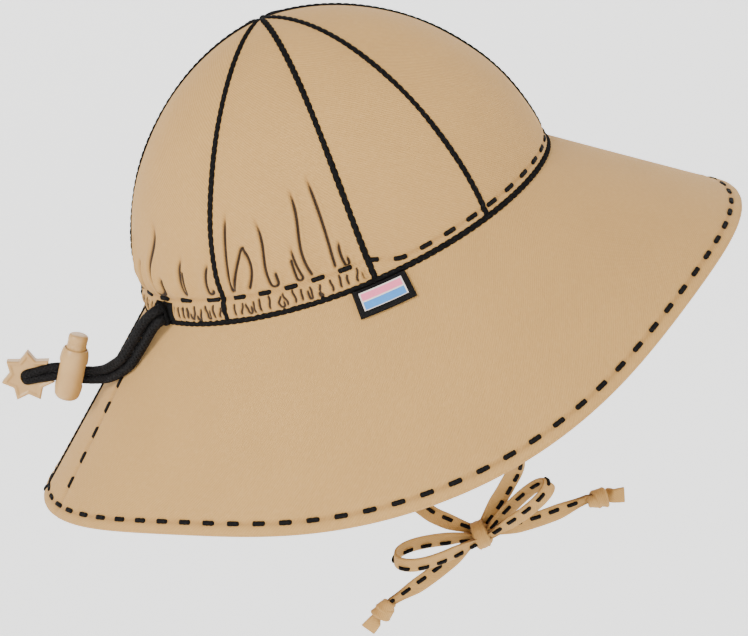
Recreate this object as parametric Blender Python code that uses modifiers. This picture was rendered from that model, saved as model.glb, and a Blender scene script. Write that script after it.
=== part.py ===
# Sun hat for a small child: gathered crown, deep brim, elastic drawcord with a lock, and chin ties.
# Metres, +Z up, +X to the front of the hat, +Y to the wearer's left.
# The origin is the centre of the head opening, level with the seam at the front and back.
import math
from collections import namedtuple

import bmesh
import bpy
from mathutils import Matrix, Vector

MM = 0.001

# Clearances
GAP = 0.3 * MM
PANEL_GAP = 0.6 * MM
KNOT_GAP = 0.5 * MM
CORD_CLEARANCE = 0.9 * MM
WELD = 0.01 * MM

# Crown: a dome on an oval seam that dips at the ears
HEAD_LENGTH = 176 * MM
HEAD_WIDTH = 144 * MM
SIDE_DIP = 6 * MM
CROWN_HEIGHT = 88.3 * MM
CROWN_FULLNESS = 1.84
CROWN_WALL = 1.5 * MM
PANEL_SWELL = 0.9 * MM
SEAM_LEAN = 12.5
SEAM_LEAN_START = 56
SEAM_LEAN_RISE = 1.8
TIP_RADIUS = 1.4 * MM

# Elastic casing and the gathers above it, round the back half
CASING_HEIGHT = 8.5 * MM
ELASTIC_PULL = 1.4 * MM
GATHER_DEPTH = 1.3 * MM
GATHER_RISE = 36 * MM
GATHER_START = 12
FOLD_OPENING = 4.3 * MM
FOLD_AT_CASING = 0.3
CASING_PUFF = 0.6
FOLD_ROWS = (0.12, 0.3, 0.55)
ROWS_OVER_FOLDS = 6
PLAIN_ROWS = 10

# Brim: how far out and how far down its rim lies from the seam
FRONT_OUT = 66.5 * MM
FRONT_DROP = 52 * MM
BACK_OUT = 73.5 * MM
BACK_DROP = 58.4 * MM
SIDE_OUT = 44.4 * MM
SIDE_DROP = 71 * MM
BRIM_PEAK = 8
BRIM_DIP = 2
BRIM_WALL = 2 * MM
BRIM_COLUMNS = 72

# Label: a folded loop in the seam at the right side
LABEL_TURN = -88.7
LABEL_WIDTH = 21 * MM
LABEL_LENGTH = 10.5 * MM
LABEL_WALL = 1.2 * MM
LABEL_DROP = 1.2 * MM

# Drawcord: two elastic strands side by side
CORD_DIAMETER = 3.6 * MM
CORD_PITCH = 3.9 * MM
CORD_SPACING = 4 * MM
CORD_ROUTE = [
    (-78.8, -33.8, 3.0),
    (-82.1, -35.7, 3.1),
    (-85.8, -34.4, 1.4),
    (-89.8, -32.4, -1.8),
    (-93.8, -30.2, -5.3),
    (-97.8, -28.0, -8.6),
    (-101.8, -26.0, -11.6),
    (-107.3, -21.0, -14.4),
    (-112.4, -17.0, -15.9),
    (-117.6, -14.2, -15.4),
    (-122.2, -14.0, -13.1),
    (-125.3, -14.0, -10.9),
    (-128.5, -14.0, -8.8),
    (-133.1, -14.0, -7.0),
    (-144.6, -14.0, -4.8),
]

# Cord lock: a barrel that the cord crosses, and a sprung button in it
LOCK_FROM_END = 20 * MM
BARREL_RADIUS = 5.7 * MM
BARREL_WALL = 1.4 * MM
BARREL_ABOVE = 10.6 * MM
BARREL_BELOW = 11.5 * MM
BUTTON_PROUD = 6.2 * MM
BUTTON_TRAVEL = 3 * MM
BUTTON_FOOT = 1.2 * MM
LOCK_SIDES = 20

# Star end: the cord's ends lie in a groove in its face
STAR_RADIUS = 10.8 * MM
STAR_VALLEY = 7.4 * MM
STAR_POINTS = 7
STAR_TURN = 77
STAR_WALL = 4.9 * MM
STAR_FLOOR = 2 * MM
STAR_GRIP = 2.6 * MM
STAR_EDGE = 0.5 * MM

# Chin ties: cloth straps sewn inside the seam at the sides
STRAP_WIDTH = 7.5 * MM
STRAP_WALL = 1.6 * MM
STRAP_PINCH = 0.55
STRAP_SPACING = 7 * MM
TIE_RIGHT_ROUTE = [
    (0.0, -68.4, 2.0),
    (1.2, -68.6, -10.0),
    (7.0, -63.0, -38.0),
    (17.0, -48.0, -76.0),
    (25.0, -27.0, -108.0),
    (26.5, -9.0, -127.0),
    (19.5, -0.5, -139.0),
    (11.0, 2.8, -147.5),
    (4.7, 3.2, -152.6),
]
TIE_LEFT_ROUTE = [
    (0.0, 68.4, 2.0),
    (-1.2, 68.6, -10.0),
    (-7.0, 63.0, -38.0),
    (-15.0, 50.0, -78.0),
    (-20.5, 32.0, -112.0),
    (-21.5, 18.0, -131.5),
    (-17.0, 10.0, -140.6),
    (-10.6, 5.4, -146.6),
    (-2.9, 3.2, -153.0),
]

# Bow: the knot, its two loops and its two tails
KNOT_PLACE = (1.0, 0.0, -155.8)
KNOT_WIDTH = 8 * MM
KNOT_HEIGHT = 13 * MM
KNOT_DEPTH = 12 * MM
LOOP_ROOT = 1.1 * MM
LOOP_FORWARD = 12
LOOP_TILT = 19
LOOP_LAYER = -2.8 * MM
TAIL_LAYER = 1.3 * MM
TAIL_SAG = 1.6 * MM
Bow = namedtuple("Bow", "name side loop_rise loop_reach loop_spread tail_rise tail_reach")
BOWS = [
    Bow("front", 1, 24.5, 38.5 * MM, 7.0 * MM, -5.1, 48.0 * MM),
    Bow("back", -1, 15.2, 39.8 * MM, 10.5 * MM, -16.1, 49.0 * MM),
]

# Overhand knot and stub at each tail's end, as shares of its length and radius
END_LENGTH = 17 * MM
END_RADIUS = 4.4 * MM
END_FLATNESS = 0.75
END_DROOP = 18
EndRing = namedtuple("EndRing", "along radius")
END_RINGS = [
    EndRing(1.0, 0.0),
    EndRing(0.97, 0.7),
    EndRing(0.8, 0.78),
    EndRing(0.58, 0.56),
    EndRing(0.42, 0.92),
    EndRing(0.28, 1.0),
    EndRing(0.12, 0.9),
    EndRing(0.0, 0.5),
    EndRing(0.0, 0.0),
]

# Crown panels of one side, by the turn of their edges from the centre front, in degrees
Panel = namedtuple("Panel", "name start end pleats columns")
PANELS = [
    Panel("front", 0, 56, 0, 7),
    Panel("front_side", 56, 89, 0, 4),
    Panel("back_side", 89, 129, 4, 16),
    Panel("back", 129, 180, 7, 28),
]
# Height of each fold, from the front of its panel to the back, as a share of GATHER_RISE
FOLD_RISES = {
    "back_side": (0.8, 1.0, 0.45, 0.7),
    "back": (0.95, 0.6, 0.4, 0.5, 0.4, 0.85, 0.5),
}

COLOURS = {
    "twill": ((0.604, 0.445, 0.275), 0.85, 0.0),
    "elastic": ((0.018, 0.016, 0.016), 0.75, 0.0),
    "label_cloth": ((0.72, 0.46, 0.47), 0.8, 0.0),
    "tan_plastic": ((0.604, 0.445, 0.275), 0.45, 0.0),
}


def clear_scene():
    for thing in list(bpy.data.objects):
        bpy.data.objects.remove(thing)


def make_collection(name):
    collection = bpy.data.collections.new(name)
    bpy.context.scene.collection.children.link(collection)
    return collection


def make_material(name, colour, roughness, metallic):
    material = bpy.data.materials.new(name)
    material.use_nodes = True
    shader = material.node_tree.nodes["Principled BSDF"]
    shader.inputs["Base Color"].default_value = (*colour, 1)
    shader.inputs["Roughness"].default_value = roughness
    shader.inputs["Metallic"].default_value = metallic
    return material


clear_scene()
hat = make_collection("sun_hat")
cutters = make_collection("cutters")
materials = {name: make_material(name, *look) for name, look in COLOURS.items()}


def place(name, data, material, location=(0, 0, 0), rotation=None):
    thing = bpy.data.objects.new(name, data)
    thing.location = location
    if rotation is not None:
        thing.rotation_euler = rotation.to_euler()
    if data.materials:
        data.materials[0] = materials[material]
    else:
        data.materials.append(materials[material])
    hat.objects.link(thing)
    return thing


def place_cutter(name, mesh, location, rotation):
    thing = bpy.data.objects.new(name, mesh)
    thing.location = location
    thing.rotation_euler = rotation.to_euler()
    thing.hide_render = True
    thing.display_type = "WIRE"
    cutters.objects.link(thing)
    return thing


def cut(thing, cutter):
    modifier = thing.modifiers.new(cutter.name, "BOOLEAN")
    modifier.operation = "DIFFERENCE"
    modifier.solver = "EXACT"
    modifier.object = cutter


# Cloth: a grid laid on a surface and given its wall
def cloth(name, surface, across, along, wall, material, offset=-1, closed=False):
    mesh = bpy.data.meshes.new(name)
    grid = bmesh.new()
    columns, rows = len(across) - 1, len(along) - 1
    bmesh.ops.create_grid(grid, x_segments=columns, y_segments=rows, size=0.5)
    for corner in grid.verts:
        column = round((corner.co.x + 0.5) * columns)
        row = round((corner.co.y + 0.5) * rows)
        corner.co = surface(across[column], along[row])
    if closed:
        bmesh.ops.remove_doubles(grid, verts=grid.verts, dist=WELD)
    grid.to_mesh(mesh)
    grid.free()
    mesh.shade_smooth()
    thing = place(name, mesh, material)
    solid = thing.modifiers.new("wall", "SOLIDIFY")
    solid.thickness = wall
    solid.offset = offset
    return thing


def steps(first, last, count):
    return [first + (last - first) * index / count for index in range(count + 1)]


def ramp(value):
    share = min(max(value, 0), 1)
    return share * share * (3 - 2 * share)


# Toward the tip, the seams behind the front side panels lean to the front
def seam_lean(turn, height):
    past = min(max((abs(turn) - SEAM_LEAN_START) / (180 - SEAM_LEAN_START), 0), 1)
    rise = min(max(height / CROWN_HEIGHT, 0), 1) ** SEAM_LEAN_RISE
    return math.radians(SEAM_LEAN) * rise * math.sin(math.pi * past) ** 3


# The crown without its folds, at a turn in degrees and a height over the seam
def dome(turn, height):
    angle = math.radians(turn) - math.copysign(seam_lean(turn, height), turn)
    rise = min(max(height / CROWN_HEIGHT, 0), 1) ** CROWN_FULLNESS
    reach = (1 - rise) ** (1 / CROWN_FULLNESS)
    dip = SIDE_DIP * (reach * math.sin(angle)) ** 2
    x = HEAD_LENGTH / 2 * reach * math.cos(angle)
    y = HEAD_WIDTH / 2 * reach * math.sin(angle)
    return Vector((x, y, height - dip))


# Length along the crown for a turn of one degree
def stretch(turn, height):
    return (dome(turn + 0.5, height) - dome(turn - 0.5, height)).length


def crown_outward(turn, height):
    low = min(height, CROWN_HEIGHT * 0.99)
    around = dome(turn + 0.5, low) - dome(turn - 0.5, low)
    upward = dome(turn, low + 0.1 * MM) - dome(turn, low)
    return around.cross(upward).normalized()


# Heights from a first one up to the tip, in equal steps of angle
def heights_to_tip(first, count):
    tip = (1 - (TIP_RADIUS / (HEAD_WIDTH / 2)) ** CROWN_FULLNESS) ** 0.5
    low = math.asin((first / CROWN_HEIGHT) ** (CROWN_FULLNESS / 2))
    high = math.asin(tip)
    return [CROWN_HEIGHT * math.sin(angle) ** (2 / CROWN_FULLNESS) for angle in steps(low, high, count)]


def fold_rise(panel, share):
    rises = FOLD_RISES[panel.name]
    place_in_row = share * panel.pleats - 0.5
    first = min(max(math.floor(place_in_row), 0), panel.pleats - 1)
    second = min(first + 1, panel.pleats - 1)
    blend = min(max(place_in_row - first, 0), 1)
    return GATHER_RISE * (rises[first] * (1 - blend) + rises[second] * blend)


# How far the cloth stands out from the dome: the panel's swell, the folds and the elastic's pull
def crown_relief(panel, share, turn, height):
    full = math.sin(math.pi * share) * math.sin(math.pi * min(height / CROWN_HEIGHT, 1) ** 2)
    relief = PANEL_SWELL * full
    if not panel.pleats:
        return relief
    start = ramp((abs(turn) - PANELS[2].start) / GATHER_START)
    above = height - CASING_HEIGHT
    wave = -math.cos(2 * math.pi * panel.pleats * share)
    if above < 0:
        depth = GATHER_DEPTH * CASING_PUFF * math.sin(math.pi * height / CASING_HEIGHT)
    else:
        opening = ramp(above / FOLD_OPENING + FOLD_AT_CASING)
        depth = GATHER_DEPTH * opening * ramp(1 - above / fold_rise(panel, share))
    pull = ELASTIC_PULL * math.exp(-((above / CASING_HEIGHT) ** 2) * 3)
    return relief + start * (depth * wave - pull)


def make_crown_panel(panel, side_name, side):
    edges = sorted((side * panel.start, side * panel.end))
    if panel.pleats:
        heights = [0, CASING_HEIGHT / 2, CASING_HEIGHT]
        heights += [CASING_HEIGHT + GATHER_RISE * share for share in FOLD_ROWS]
        heights += heights_to_tip(CASING_HEIGHT + GATHER_RISE, ROWS_OVER_FOLDS)
    else:
        heights = heights_to_tip(0, PLAIN_ROWS)

    def surface(share, height):
        inset = PANEL_GAP / 2 / stretch(edges[0], height)
        turn = edges[0] + inset + share * (edges[1] - edges[0] - 2 * inset)
        from_front = share if side > 0 else 1 - share
        relief = crown_relief(panel, from_front, turn, height)
        return dome(turn, height) + crown_outward(turn, height) * relief

    name = f"crown_panel_{panel.name}_{side_name}"
    cloth(name, surface, steps(0, 1, panel.columns), heights, CROWN_WALL, "twill")


def make_crown():
    for panel in PANELS:
        make_crown_panel(panel, "left", 1)
        make_crown_panel(panel, "right", -1)


# A point of the brim's upper face: share 0 at the seam, 1 at the rim
def brim_point(turn, share):
    angle = math.radians(turn)
    lean = abs(math.cos(angle))
    end_out, end_drop = (FRONT_OUT, FRONT_DROP) if math.cos(angle) > 0 else (BACK_OUT, BACK_DROP)
    out = SIDE_OUT + (end_out - SIDE_OUT) * lean**BRIM_PEAK
    drop = SIDE_DROP + (end_drop - SIDE_DROP) * lean**BRIM_DIP
    away = Vector((HEAD_WIDTH * math.cos(angle), HEAD_LENGTH * math.sin(angle), 0)).normalized()
    return dome(turn, 0) + away * out * share + Vector((0, 0, -GAP - drop * share))


def brim_outward(turn, share):
    around = brim_point(turn + 0.5, share) - brim_point(turn - 0.5, share)
    downward = brim_point(turn, share + 0.01) - brim_point(turn, share - 0.01)
    return downward.cross(around).normalized()


def make_brim():
    turns = steps(-180, 180, BRIM_COLUMNS)
    cloth("brim", brim_point, turns, steps(1, 0, 6), BRIM_WALL, "twill", closed=True)


def make_label():
    half_turn = math.degrees(LABEL_WIDTH / HEAD_LENGTH)
    slant = (brim_point(LABEL_TURN, 1) - brim_point(LABEL_TURN, 0)).length

    def surface(turn, share):
        return brim_point(turn, share) + brim_outward(turn, share) * (GAP + LABEL_WALL)

    turns = steps(LABEL_TURN - half_turn, LABEL_TURN + half_turn, 6)
    shares = steps((LABEL_DROP + LABEL_LENGTH) / slant, LABEL_DROP / slant, 3)
    cloth("label", surface, turns, shares, LABEL_WALL, "label_cloth")


# A smooth curve through chosen points, in millimetres, read at even distances
def smooth_line(route, spacing):
    points = [Vector(point) * MM for point in route]
    points = [points[0] * 2 - points[1], *points, points[-1] * 2 - points[-2]]
    fine = []
    for before, start, end, after in zip(points, points[1:], points[2:], points[3:]):
        for share in steps(0, 1, 24)[:-1]:
            bend = (before * 2 - start * 5 + end * 4 - after) * share**2
            twist = (start * 3 - before - end * 3 + after) * share**3
            fine.append((start * 2 + (end - before) * share + bend + twist) / 2)
    fine.append(points[-2])
    lengths = [0.0]
    for start, end in zip(fine, fine[1:]):
        lengths.append(lengths[-1] + (end - start).length)
    line = []
    at = 0
    for distance in steps(0, lengths[-1], math.ceil(lengths[-1] / spacing)):
        while at < len(fine) - 2 and lengths[at + 1] < distance:
            at += 1
        share = (distance - lengths[at]) / (lengths[at + 1] - lengths[at])
        line.append(fine[at].lerp(fine[at + 1], min(share, 1)))
    return line


def headings(line):
    ahead = [end - start for start, end in zip(line, line[1:])]
    middle = [(first + second).normalized() for first, second in zip(ahead, ahead[1:])]
    return [ahead[0].normalized(), *middle, ahead[-1].normalized()]


def length_of(line):
    return sum((end - start).length for start, end in zip(line, line[1:]))


# The point of a line at a distance before its end, and the way the line runs there
def before_end(line, distance):
    left = distance
    for end, start in zip(reversed(line), reversed(line[:-1])):
        piece = (end - start).length
        if piece >= left:
            return end.lerp(start, left / piece), (end - start).normalized()
        left -= piece
    return line[0], (line[1] - line[0]).normalized()


def tube(name, line, diameter, material):
    curve = bpy.data.curves.new(name, "CURVE")
    curve.dimensions = "3D"
    curve.bevel_depth = diameter / 2
    curve.bevel_resolution = 2
    curve.use_fill_caps = True
    spline = curve.splines.new("POLY")
    spline.points.add(len(line) - 1)
    for point, place_on_line in zip(spline.points, line):
        point.co = (*place_on_line, 1)
        point.radius = 1
    return place(name, curve, material)


# The strands lie one over the other, seen from the hat's side
def stack_way(heading):
    return Vector((heading.z, 0, -heading.x)).normalized()


def make_drawcord(line):
    ways = [stack_way(heading) for heading in headings(line)]
    for name, shift in (("drawcord_upper", 0.5), ("drawcord_lower", -0.5)):
        strand = [point + way * CORD_PITCH * shift for point, way in zip(line, ways)]
        tube(name, strand, CORD_DIAMETER, "elastic")


def facing(x_way, z_way):
    y_way = z_way.cross(x_way)
    return Matrix((x_way, y_way, z_way)).transposed()


# A profile of (radius, height) pairs from top to bottom, turned about Z
def turned_mesh(name, profile):
    mesh = bpy.data.meshes.new(name)
    points = [(radius, 0, height) for radius, height in profile]
    mesh.from_pydata(points, [(index, index + 1) for index in range(len(points) - 1)], [])
    return mesh


def turn_modifier(thing, sides):
    screw = thing.modifiers.new("turned", "SCREW")
    screw.steps = sides
    screw.render_steps = sides
    screw.use_merge_vertices = True
    screw.merge_threshold = WELD
    screw.use_smooth_shade = False


def box_mesh(name, low, high):
    mesh = bpy.data.meshes.new(name)
    box = bmesh.new()
    bmesh.ops.create_cube(box, size=1)
    for corner in box.verts:
        corner.co = Vector([a + (b - a) * (c + 0.5) for a, b, c in zip(low, high, corner.co)])
    box.to_mesh(mesh)
    box.free()
    return mesh


PAIR_HALF = (CORD_PITCH + CORD_DIAMETER) / 2 + CORD_CLEARANCE
CORD_HALF = CORD_DIAMETER / 2 + GAP


def make_cord_lock(line):
    centre, heading = before_end(line, LOCK_FROM_END)
    rotation = facing(heading, stack_way(heading))
    bore = BARREL_RADIUS - BARREL_WALL
    foot = -PAIR_HALF - BUTTON_FOOT
    floor = foot - BUTTON_TRAVEL - GAP
    lip = BARREL_WALL / 3
    barrel_profile = [
        (0, floor),
        (bore, floor),
        (bore, BARREL_ABOVE),
        (bore + lip, BARREL_ABOVE),
        (BARREL_RADIUS * 0.93, BARREL_ABOVE * 0.86),
        (BARREL_RADIUS, BARREL_ABOVE * 0.6),
        (BARREL_RADIUS, -BARREL_BELOW * 0.1),
        (BARREL_RADIUS * 0.95, -BARREL_BELOW * 0.55),
        (BARREL_RADIUS * 0.88, -BARREL_BELOW * 0.8),
        (BARREL_RADIUS * 0.65, -BARREL_BELOW * 0.95),
        (BARREL_RADIUS * 0.4, -BARREL_BELOW),
        (0, -BARREL_BELOW),
    ]
    stem = bore - GAP
    top = BARREL_ABOVE + BUTTON_PROUD
    button_profile = [
        (0, top),
        (stem * 0.6, top),
        (stem * 0.9, top - stem * 0.12),
        (stem, top - stem * 0.4),
        (stem, foot),
        (0, foot),
    ]
    far = BARREL_RADIUS * 2
    shapes = [
        ("cord_lock_barrel", barrel_profile, PAIR_HALF),
        ("cord_lock_button", button_profile, PAIR_HALF + BUTTON_TRAVEL),
    ]
    for name, profile, slot_top in shapes:
        piece = place(name, turned_mesh(name, profile), "tan_plastic", centre, rotation)
        turn_modifier(piece, LOCK_SIDES)
        slot = box_mesh(f"{name}_slot", (-far, -CORD_HALF, -PAIR_HALF), (far, CORD_HALF, slot_top))
        cut(piece, place_cutter(f"{name}_slot", slot, centre, rotation))


def make_star_end(line):
    centre, heading = before_end(line, STAR_GRIP)
    stack = stack_way(heading)
    rotation = facing(-heading, (-heading).cross(stack))
    mesh = bpy.data.meshes.new("star_end")
    disc = bmesh.new()
    bmesh.ops.create_circle(disc, cap_ends=True, segments=STAR_POINTS * 2, radius=1)
    for index, corner in enumerate(disc.verts):
        angle = math.radians(STAR_TURN) + index * math.pi / STAR_POINTS
        radius = STAR_VALLEY if index % 2 else STAR_RADIUS
        corner.co = Vector((radius * math.cos(angle), radius * math.sin(angle), 0))
    disc.to_mesh(mesh)
    disc.free()
    # The groove's floor lies CORD_HALF behind the cord's line
    back = -CORD_HALF - STAR_FLOOR
    front = back + STAR_WALL
    for corner in mesh.vertices:
        corner.co.z = (back + front) / 2
    star = place("star_end", mesh, "tan_plastic", centre, rotation)
    solid = star.modifiers.new("wall", "SOLIDIFY")
    solid.thickness = STAR_WALL
    solid.offset = 0
    bevel = star.modifiers.new("edge", "BEVEL")
    bevel.width = STAR_EDGE
    bevel.segments = 1
    bevel.limit_method = "ANGLE"
    bevel.angle_limit = math.radians(60)
    low = (-STAR_GRIP - GAP, -PAIR_HALF, -CORD_HALF)
    high = (STAR_RADIUS * 2, PAIR_HALF, front + STAR_WALL)
    groove = box_mesh("star_groove", low, high)
    cut(star, place_cutter("star_groove", groove, centre, rotation))


# A flat strap along a line; its width narrows over the last stretch before a knot
def make_strap(name, line, widths, ways):
    def surface(share, index):
        return line[index] + ways[index] * widths[index] * share

    cloth(name, surface, [-0.5, 0, 0.5], list(range(len(line))), STRAP_WALL, "twill", offset=0)


def pinched(from_knot):
    return STRAP_WIDTH * (STRAP_PINCH + (1 - STRAP_PINCH) * ramp(from_knot / (STRAP_WIDTH * 2)))


def make_tie(name, route):
    line = smooth_line(route, STRAP_SPACING)
    side_way = Vector((0, 1, 0))
    ways = [heading.cross(side_way).normalized() for heading in headings(line)]
    widths = [pinched(length_of(line[index:])) for index in range(len(line))]
    make_strap(name, line, widths, ways)


def make_bow_loop(bow, knot):
    rise, forward, tilt = (math.radians(value) for value in (bow.loop_rise, LOOP_FORWARD, LOOP_TILT))
    along = Vector((bow.side * math.cos(rise), -math.sin(forward), math.sin(rise))).normalized()
    upright = along.cross(Vector((0, bow.side, 0))).normalized()
    toward = along.cross(upright) * -bow.side
    across = (toward * math.cos(tilt) + upright * math.sin(tilt)).normalized()
    width_way = along.cross(across).normalized()
    root = knot + Vector((bow.side * (KNOT_WIDTH / 2 + KNOT_GAP), LOOP_LAYER, 0))
    reach = bow.loop_reach - KNOT_WIDTH / 2
    line = []
    for share in steps(0, 1, 16):
        turn = math.pi * share
        spread = LOOP_ROOT * math.cos(turn) + bow.loop_spread / 2 * math.sin(2 * turn)
        line.append(root + along * reach * math.sin(turn) + across * spread)
    widths = [pinched((point - root).length) for point in line]
    make_strap(f"bow_loop_{bow.name}", line, widths, [width_way] * len(line))


def make_bow_tail(bow, knot):
    rise = math.radians(bow.tail_rise)
    along = Vector((bow.side * math.cos(rise), 0, math.sin(rise)))
    root = knot + Vector((bow.side * (KNOT_WIDTH / 2 + KNOT_GAP), TAIL_LAYER, -KNOT_HEIGHT / 10))
    reach = bow.tail_reach - KNOT_WIDTH / 2
    line = []
    for share in steps(0, 1, 8):
        sag = Vector((0, 0, -TAIL_SAG * math.sin(math.pi * share)))
        line.append(root + along * reach * share + sag)
    width_way = along.cross(Vector((0, 1, 0))).normalized()
    from_ends = [min(share, 1 - share) * reach for share in steps(0, 1, 8)]
    widths = [pinched(distance) for distance in from_ends]
    make_strap(f"tie_tail_{bow.name}", line, widths, [width_way] * len(line))
    tail_end = (line[-1] - line[-2]).normalized()
    end_way = Matrix.Rotation(math.radians(END_DROOP) * bow.side, 3, "Y") @ tail_end
    foot_gap = KNOT_GAP + END_RADIUS * END_RINGS[-2].radius * math.sin(math.radians(END_DROOP))
    profile = [(END_RADIUS * ring.radius, END_LENGTH * ring.along) for ring in END_RINGS]
    mesh = turned_mesh(f"tail_knot_{bow.name}", profile)
    rotation = facing(end_way.cross(Vector((0, bow.side, 0))).normalized(), end_way)
    knot_end = place(f"tail_knot_{bow.name}", mesh, "twill", line[-1] + end_way * foot_gap, rotation)
    knot_end.scale = (1, END_FLATNESS, 1)
    turn_modifier(knot_end, 12)


def make_bow_knot(knot):
    mesh = bpy.data.meshes.new("bow_knot")
    lump = bmesh.new()
    bmesh.ops.create_uvsphere(lump, u_segments=14, v_segments=9, radius=0.5)
    for corner in lump.verts:
        sizes = (KNOT_WIDTH, KNOT_DEPTH, KNOT_HEIGHT)
        corner.co = Vector([size * value for size, value in zip(sizes, corner.co)])
    lump.to_mesh(mesh)
    lump.free()
    place("bow_knot", mesh, "twill", knot)


def make_chin_ties():
    make_tie("chin_tie_right", TIE_RIGHT_ROUTE)
    make_tie("chin_tie_left", TIE_LEFT_ROUTE)
    knot = Vector(KNOT_PLACE) * MM
    make_bow_knot(knot)
    for bow in BOWS:
        make_bow_loop(bow, knot)
        make_bow_tail(bow, knot)


make_crown()
make_brim()
make_label()
cord_line = smooth_line(CORD_ROUTE, CORD_SPACING)
make_drawcord(cord_line)
make_cord_lock(cord_line)
make_star_end(cord_line)
make_chin_ties()
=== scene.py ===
# Child's sun hat in tan twill: a panelled crown gathered at the back, a deep brim, a drawcord with a lock,
# and chin ties. Metres throughout; +X is the hat's front, +Y the wearer's left, +Z up.
import math
import random

import bmesh
import bpy
import numpy as np
from mathutils import Matrix, Vector


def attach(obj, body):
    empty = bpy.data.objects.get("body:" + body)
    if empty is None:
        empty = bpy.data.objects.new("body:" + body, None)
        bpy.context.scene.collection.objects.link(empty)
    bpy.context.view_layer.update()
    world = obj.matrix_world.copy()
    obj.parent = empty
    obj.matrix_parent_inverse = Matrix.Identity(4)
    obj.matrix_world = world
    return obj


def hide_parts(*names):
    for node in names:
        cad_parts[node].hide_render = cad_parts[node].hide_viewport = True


mm = 0.001
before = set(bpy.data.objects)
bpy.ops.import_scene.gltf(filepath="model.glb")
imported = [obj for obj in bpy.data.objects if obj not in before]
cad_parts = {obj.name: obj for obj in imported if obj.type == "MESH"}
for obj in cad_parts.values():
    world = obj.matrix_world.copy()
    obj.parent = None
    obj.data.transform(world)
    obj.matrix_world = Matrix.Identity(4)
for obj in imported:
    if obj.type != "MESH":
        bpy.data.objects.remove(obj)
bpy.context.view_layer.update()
print("frame loaded")


# Small helpers: smooth steps, directions and lengths, on single numbers and on arrays alike
def ramp(value):
    share = np.clip(value, 0, 1)
    return share * share * (3 - 2 * share)


def bump(distance, width):
    return np.exp(-((distance / width) ** 2))


def mixed(low, high, share):
    return low + (high - low) * share


def unit(vectors):
    vectors = np.asarray(vectors, float)
    return vectors / np.maximum(np.linalg.norm(vectors, axis=-1, keepdims=True), 1e-12)


def stacked(*parts):  # points from their coordinates
    return np.stack(np.broadcast_arrays(*parts), -1)


def circle(sides):
    return np.linspace(0, 2 * math.pi, sides, endpoint=False)


def lengthsOf(path):
    return np.concatenate([[0], np.cumsum(np.linalg.norm(np.diff(path, axis=0), axis=1))])


def readLine(path, lengths, at):
    return np.stack([np.interp(at, lengths, path[:, axis]) for axis in range(3)], -1)


def ringsRound(middle, side, up, across, high):  # points round a line, on its side way and its up way
    return middle[..., None, :] + side[..., None, :] * across[..., None] + up[..., None, :] * high[..., None]


def ringsOf(profile, sides):  # rings round an upright axis, from radii and heights
    radius, height = np.array(profile, float).T[..., None]
    return stacked(radius * np.cos(circle(sides)), radius * np.sin(circle(sides)), height)


def smoothed(values, reach):  # the mean of the samples within a reach on either side
    window = 2 * reach + 1
    return np.convolve(np.pad(values, reach, mode="edge"), np.ones(window) / window, "valid")


def inScene(name, data):
    made = bpy.data.objects.new(name, data)
    bpy.context.scene.collection.objects.link(made)
    return made


# The picture's camera looks at the hat's right side, a little from above and rolled
camera = {
    "place": (-0.00009, -0.6263, 0.17411),
    "aim": (-0.00231, -0.020, -0.01568),
    "rollDegrees": 23.03,
    "lens": 76.55,
    "sensor": 36,
    "shift": (0.0187, -0.0668),
    "clip": (0.01, 60),
}


def makeCamera():
    lens = bpy.data.cameras.new("camera")
    lens.lens = camera["lens"]
    lens.sensor_width = camera["sensor"]
    lens.shift_x, lens.shift_y = camera["shift"]
    lens.clip_start, lens.clip_end = camera["clip"]
    eye = inScene("camera", lens)
    place, aim = Vector(camera["place"]), Vector(camera["aim"])
    look = (aim - place).to_track_quat("-Z", "Y").to_matrix().to_4x4()
    roll = Matrix.Rotation(-math.radians(camera["rollDegrees"]), 4, "Z")
    eye.matrix_world = Matrix.Translation(place) @ look @ roll
    bpy.context.scene.camera = eye


makeCamera()


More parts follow.
